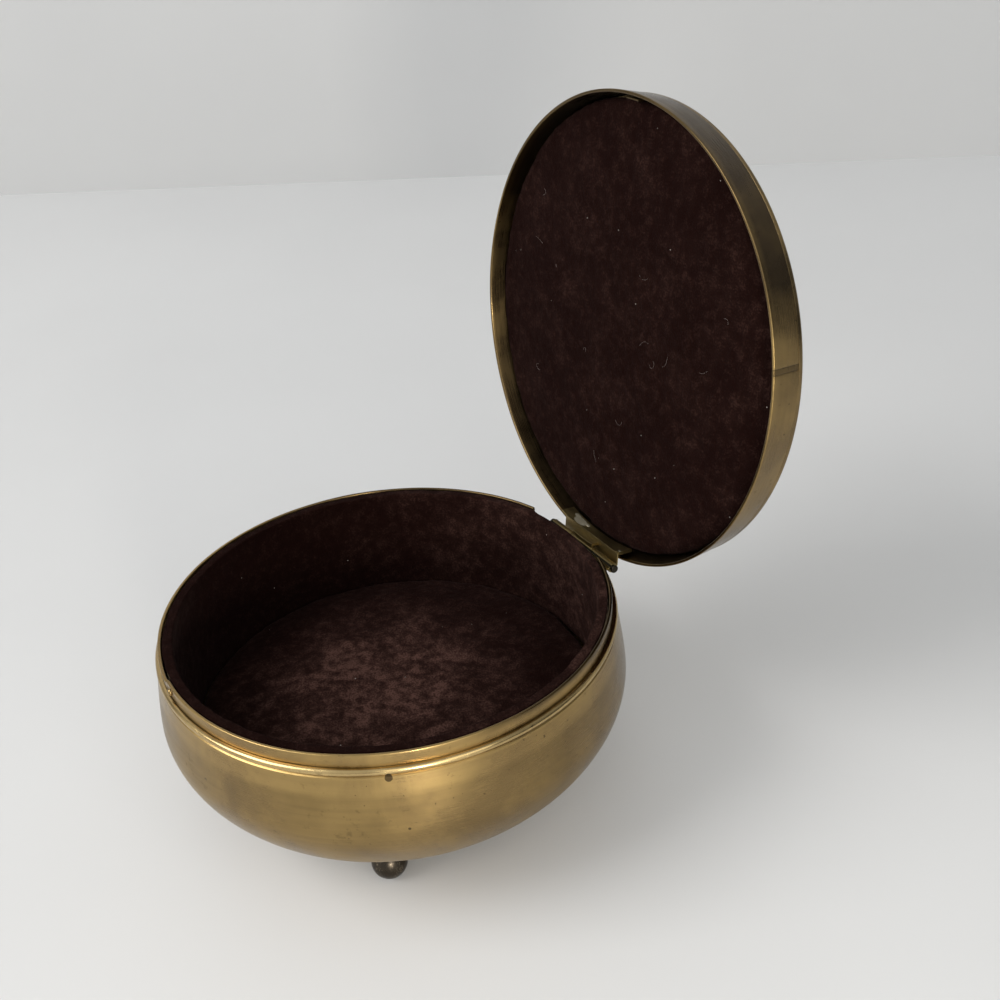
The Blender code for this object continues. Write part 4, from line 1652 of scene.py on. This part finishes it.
@dataclass
class Hinge:
    """Two leaves and their knuckles on one pin."""

    box: Setting
    lid: Setting
    reach: float = 52.5 * MM
    height: float = 44.6 * MM
    knuckle_radius: float = 1.2 * MM
    bore: float = 0.6 * MM
    pin_radius: float = 0.5 * MM
    head_radius: float = 0.95 * MM
    head_start: float = 12.7 * MM
    head_end: float = 13.3 * MM
    lid_knuckle: tuple[float, float] = (-4.3 * MM, 4.3 * MM)
    box_knuckles: tuple[tuple[float, float], ...] = ((-12.4 * MM, -4.6 * MM), (4.6 * MM, 12.4 * MM))
    box_leaf_radius: float = 50.0 * MM
    box_leaf_foot: float = 40.3 * MM
    lid_leaf_radius: float = 51.1 * MM
    lid_leaf_foot: float = 46.3 * MM
    lid_leaf_top: float = 50.0 * MM
    lid_leaf_half: float = 12.2 * MM
    flange_depth: float = 3.2 * MM
    flange_ends: tuple[float, float] = (-9.8 * MM, 11.9 * MM)
    slot_turn: float = 30.0
    box_slot: float = -51.0
    lid_slot: float = 46.5
    solder_blobs: tuple[tuple[float, float, float], ...] = (
        (-6.6 * MM, 48.3 * MM, 2.4 * MM), (-8.6 * MM, 49.0 * MM, 1.2 * MM),
        (-4.4 * MM, 48.9 * MM, 0.9 * MM), (11.3 * MM, 47.0 * MM, 0.5 * MM),
    )

    def on_axis(self, shape: bmesh.types.BMesh) -> bmesh.types.BMesh:
        """Lays a shape turned round the upright axis on the hinge's, its top towards +X.

        Args:
            shape: The shape, which this moves.

        Returns:
            The same shape.
        """
        turn = Matrix.Rotation(math.pi / 2, 4, "Y")
        move = Matrix.Translation((0.0, self.reach, self.height))
        bmesh.ops.transform(shape, matrix=move @ turn, verts=shape.verts)
        return shape

    def knuckle(self, start: float, end: float, slot_azimuth: float) -> bmesh.types.BMesh:
        """A knuckle rolled from sheet, with a slot where the sheet's end comes round.

        Args:
            start: Where it starts along the pin.
            end: Where it ends.
            slot_azimuth: Where the slot is, round the pin from -Y towards -Z.

        Returns:
            The knuckle.
        """
        corners = [(self.knuckle_radius, end), (self.knuckle_radius, start), (self.bore, start),
                   (self.bore, end)]
        shape = spun(softened(corners, 0.16 * MM), start=slot_azimuth + self.slot_turn / 2,
                     turn=360 - self.slot_turn, steps=44)
        return self.on_axis(shape)

    def strip(self, radius: float, foot: float, top: float, half: float) -> bmesh.types.BMesh:
        """A strip of sheet bent to the curve at the back.

        Args:
            radius: Its outer radius.
            foot: Its lower edge.
            top: Its upper edge.
            half: Half its width.

        Returns:
            The strip.
        """
        corners = [(radius, top), (radius, foot), (radius - SHEET, foot), (radius - SHEET, top)]
        turn = 2 * math.degrees(math.asin(half / radius))
        return spun(softened(corners, 0.15 * MM), start=180 - turn / 2, turn=turn, steps=24)

    def flange(self) -> bmesh.types.BMesh:
        """The flat of the lid's leaf over the knuckles, which shows beside them when it is open.

        Returns:
            The flat.
        """
        foot = self.height + self.knuckle_radius + 0.25 * MM
        low = Vector((self.flange_ends[0], self.reach - self.flange_depth, foot))
        high = Vector((self.flange_ends[1], self.reach + 0.1 * MM, foot + SHEET / 2))
        return self.plate(low, high)

    def link(self, start: float, end: float, inner: float, rise: float) -> bmesh.types.BMesh:
        """The flat of the sheet that runs from a leaf to its knuckle.

        Args:
            start: Where the knuckle starts along the pin.
            end: Where it ends.
            inner: How far from the axis the flat starts.
            rise: How far it is over the pin.

        Returns:
            The flat.
        """
        low = Vector((start + FIT_GAP, inner, self.height + rise - SHEET / 2))
        high = Vector((end - FIT_GAP, self.reach - self.bore - 0.2 * MM,
                       self.height + rise + SHEET / 2))
        return self.plate(low, high)

    @staticmethod
    def plate(low: Vector, high: Vector) -> bmesh.types.BMesh:
        """A flat piece of sheet between two corners, with its edges eased.

        Args:
            low: Its lowest corner.
            high: Its highest corner.

        Returns:
            The piece.
        """
        shape = bmesh.new()
        size = Matrix.Diagonal((*(high - low), 1.0))
        bmesh.ops.create_cube(shape, size=1, matrix=Matrix.Translation((low + high) / 2) @ size)
        bmesh.ops.bevel(shape, geom=shape.edges[:], offset=0.12 * MM, segments=2, profile=0.5,
                        affect="EDGES", material=-1)
        return shape

    def build(self) -> None:
        """Builds both leaves and the pin."""
        half = self.box_knuckles[1][1]
        top = self.height + SHEET
        shapes = [self.strip(self.box_leaf_radius, self.box_leaf_foot, top, half)]
        for start, end in self.box_knuckles:
            shapes.append(self.knuckle(start, end, self.box_slot))
            inner = math.sqrt(self.box_leaf_radius**2 - max(abs(start), abs(end)) ** 2) - SHEET / 2
            shapes.append(self.link(start, end, inner, 0.0))
        make_piece("hinge_leaf_box", join(shapes), self.box, HINGE_BRASS,
                   ["hinge_body_leaf"])
        start, end = self.lid_knuckle
        shapes = [
            self.strip(self.lid_leaf_radius, self.lid_leaf_foot, self.lid_leaf_top,
                       self.lid_leaf_half),
            self.strip(self.lid_leaf_radius - 0.03 * MM, self.height - SHEET / 2,
                       self.lid_leaf_foot + SHEET, end - FIT_GAP),
            self.knuckle(start, end, self.lid_slot),
            self.link(start, end, self.lid_leaf_radius - SHEET, 0.0),
            self.flange(),
        ]
        make_piece("hinge_leaf_lid", join(shapes), self.lid, HINGE_BRASS,
                   ["hinge_lid_leaf"])
        self.build_solder()
        half = [(self.head_radius, self.head_end), (self.head_radius, self.head_start),
                (self.pin_radius, self.head_start)]
        other = [(radius, -along) for radius, along in reversed(half)]
        outline = [(0.0, self.head_end), *half, *other, (0.0, -self.head_end)]
        pin = self.on_axis(spun(softened(outline, 0.25 * MM, ring=False), ring=False, steps=40))
        make_piece("pin", pin, self.box, PIN_STEEL, ["hinge_pin"])

    def build_solder(self) -> None:
        """The solder that has run out on the lid's leaf."""
        blobs = []
        inner = self.lid_leaf_radius - SHEET
        for along, height, size in self.solder_blobs:
            blob = bmesh.new()
            bmesh.ops.create_uvsphere(blob, u_segments=28, v_segments=16, radius=1.0)
            bmesh.ops.scale(blob, verts=blob.verts, vec=(size, 0.13 * MM, 0.5 * size))
            uneven(blob, amount=0.05 * MM, size=1.2 * MM, seed=along / MM)
            turn = Matrix.Rotation(-math.asin(along / inner), 4, "Z")
            place = Matrix.Translation((along, math.sqrt(inner**2 - along**2), height))
            bmesh.ops.transform(blob, matrix=place @ turn, verts=blob.verts)
            blobs.append(blob)
        make_piece("solder", join(blobs), self.lid, SOLDER)


@dataclass
class Catch:
    """The pip on the collar and the lip in the lid that springs over it."""

    box: Setting
    lid: Setting
    pip_radius: float = 0.8 * MM
    pip_reach: float = 0.6 * MM
    pip_height: float = 49.0 * MM
    collar_radius: float = 50.0 * MM
    lip_half: float = 2.0 * MM
    lip_radius: float = 51.4 * MM
    lip_outline: tuple[tuple[float, float], ...] = (
        (51.65, 49.4), (51.65, 48.0), (51.3, 48.0), (51.15, 48.7), (51.3, 49.4),
    )
    lip_patina: float = 0.75

    def build(self) -> None:
        """Builds the pip and the lip."""
        shares = [step / 8 for step in range(9)]
        cap = [(self.pip_radius * math.sin(math.pi / 2 * share),
                self.pip_reach * math.cos(math.pi / 2 * share)) for share in shares]
        shape = spun([*cap, (0.0, 0.0)], ring=False, steps=40)
        turn = Matrix.Rotation(math.pi / 2, 4, "X")
        move = Matrix.Translation((0.0, -self.collar_radius - FIT_GAP / 2, self.pip_height))
        bmesh.ops.transform(shape, matrix=move @ turn, verts=shape.verts)
        make_piece("pip", shape, self.box, BRASS, ["catch_pip"])
        corners = [(radius * MM, height * MM) for radius, height in self.lip_outline]
        turn_half = math.degrees(math.asin(self.lip_half / self.lip_radius))
        profile = softened(corners, 0.2 * MM)
        lip = spun(profile, start=-turn_half, turn=2 * turn_half, steps=12)
        mark_darkening(lip, lambda point: self.lip_patina)
        make_piece("lip", lip, self.lid, BRASS, ["lid_lip"])


@dataclass(frozen=True)
class SoftLight:
    """A square soft light that looks at the box."""

    name: str
    place: tuple[float, float, float]
    size: float
    power: float
    colour: Colour

    def build(self, target: Vector) -> None:
        """Adds the light, which the camera doesn't see itself.

        Args:
            target: The point that it looks at.
        """
        light = bpy.data.lights.new(self.name, "AREA")
        light.shape = "SQUARE"
        light.size = self.size
        light.energy = self.power
        light.color = self.colour
        place = Vector(self.place)
        holder = bpy.data.objects.new(self.name, light)
        holder.location = place
        holder.rotation_euler = (target - place).to_track_quat("-Z", "Y").to_euler()
        holder.visible_camera = False
        bpy.context.scene.collection.objects.link(holder)


@dataclass
class Studio:
    """The pale table and wall, the soft lights and the camera."""

    eye: Vector = Vector((0.221546, -0.103889, 0.216001))
    azimuth: float = 61.1322
    elevation: float = 30.7944
    roll: float = -4.6264
    lens: float = 47.024
    wall_azimuth: float = 53.34
    wall_distance: float = 0.468
    table: Colour = (0.64, 0.64, 0.635)
    wall: Colour = (0.53, 0.53, 0.525)
    room_side: Vector = Vector((0.05, -0.72, 0.69))
    room_dark: float = 0.10
    room_bright: float = 0.84
    room_span: tuple[float, float] = (-0.35, 1.0)
    room_colour: Colour = (0.94, 0.97, 1.0)
    target: tuple[float, float, float] = (0.0, 0.0, 0.04)
    lights: tuple[SoftLight, ...] = (
        SoftLight("window", (-0.18, -0.95, 0.85), 0.75, 10.5, (1.0, 0.985, 0.97)),
        SoftLight("lamp", (0.419, -0.144, 0.118), 0.065, 0.95, (1.0, 0.95, 0.86)),
        SoftLight("fill", (1.05, -0.15, 0.80), 1.0, 4.5, (1.0, 0.99, 0.98)),
    )

    def build_camera(self) -> None:
        """The camera at the photograph's viewpoint."""
        turn, lift, roll = (math.radians(a) for a in (self.azimuth, self.elevation, self.roll))
        back = Vector((math.sin(turn) * math.cos(lift), -math.cos(turn) * math.cos(lift),
                       math.sin(lift)))
        right = (-back).cross(Vector((0, 0, 1))).normalized()
        up = right.cross(-back)
        rolled = Matrix.Rotation(-roll, 3, back)
        axes = Matrix((rolled.inverted() @ right, rolled.inverted() @ up, back)).transposed()
        camera = bpy.data.cameras.new("camera")
        camera.lens = self.lens
        camera.sensor_width = 36.0
        camera.clip_start, camera.clip_end = 0.01, 20.0
        holder = bpy.data.objects.new("camera", camera)
        holder.matrix_world = Matrix.Translation(self.eye) @ axes.to_4x4()
        bpy.context.scene.collection.objects.link(holder)
        bpy.context.scene.camera = holder

    def build_stage(self) -> None:
        """The table, and a wall behind it as seen from the camera."""
        size = 3.0
        shape = bmesh.new()
        bmesh.ops.create_grid(shape, x_segments=1, y_segments=1, size=size)
        self.stage_piece("table", shape, self.painted("table", self.table))
        shape = bmesh.new()
        bmesh.ops.create_grid(shape, x_segments=1, y_segments=1, size=size)
        upright = Matrix.Rotation(math.pi / 2, 4, "X")
        turn = Matrix.Rotation(math.radians(self.wall_azimuth), 4, "Z")
        away = Matrix.Translation((0.0, self.wall_distance, 0.0))
        bmesh.ops.transform(shape, matrix=turn @ away @ upright, verts=shape.verts)
        self.stage_piece("wall", shape, self.painted("wall", self.wall))

    @staticmethod
    def painted(name: str, colour: Colour) -> bpy.types.Material:
        """A pale painted board, a little uneven.

        Args:
            name: The material's name.
            colour: Its colour.

        Returns:
            The material.
        """
        graph = Graph(name)
        coordinates = graph.add("ShaderNodeTexCoord").outputs["Object"]
        clouds = graph.noise(coordinates, 6.0, 3.0)
        shade = tuple(part * 0.97 for part in colour)
        graph.feed(Base_Color=graph.mix(graph.between(clouds, 0.3, 0.7), shade, colour))
        graph.constant(Roughness=0.55, Specular_IOR_Level=0.3)
        return graph.material

    @staticmethod
    def stage_piece(name: str, shape: bmesh.types.BMesh, material: bpy.types.Material) -> None:
        """Adds a piece of the stage.

        Args:
            name: The piece's name.
            shape: Its shape, which this frees.
            material: Its material.
        """
        mesh = bpy.data.meshes.new(name)
        shape.to_mesh(mesh)
        shape.free()
        mesh.materials.append(material)
        piece = bpy.data.objects.new(name, mesh)
        bpy.context.scene.collection.objects.link(piece)

    def build_lights(self) -> None:
        """The soft lights, and the room's own light."""
        for light in self.lights:
            light.build(Vector(self.target))
        world = bpy.data.worlds.new("room")
        world.use_nodes = True
        tree = world.node_tree
        ground = tree.nodes["Background"]
        ground.inputs["Color"].default_value = (*self.room_colour, 1.0)
        coordinates = tree.nodes.new("ShaderNodeTexCoord")
        facing = tree.nodes.new("ShaderNodeVectorMath")
        facing.operation = "DOT_PRODUCT"
        facing.inputs[1].default_value = self.room_side.normalized()
        tree.links.new(coordinates.outputs["Generated"], facing.inputs[0])
        shade = tree.nodes.new("ShaderNodeMapRange")
        span = (*self.room_span, self.room_dark, self.room_bright)
        for index, value in enumerate(span, start=1):
            shade.inputs[index].default_value = value
        tree.links.new(facing.outputs["Value"], shade.inputs[0])
        tree.links.new(shade.outputs[0], ground.inputs["Strength"])
        bpy.context.scene.world = world
        bpy.context.scene.view_settings.view_transform = "Standard"

    def build(self) -> None:
        """Builds the studio."""
        self.build_camera()
        self.build_stage()
        self.build_lights()


def main() -> None:
    """Builds the box and its studio."""
    logging.basicConfig(level=logging.INFO, format="%(name)s %(message)s")
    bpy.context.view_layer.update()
    settings = settings_of_frame()
    box, lid = settings[Body.BOX], settings[Body.LID]
    Bowl(box).build()
    Lining(box).build()
    Lid(lid).build()
    Lint(lid, height=49.75 * MM, count=16, seed=3).build("lint_lid")
    Lint(box, height=27.1 * MM, count=7, seed=8, reach=20.0 * MM).build("lint_floor")
    Needlework(lid).build()
    Hinge(box, lid).build()
    Catch(box, lid).build()
    Studio().build()


if __name__ == "__main__":
    main()
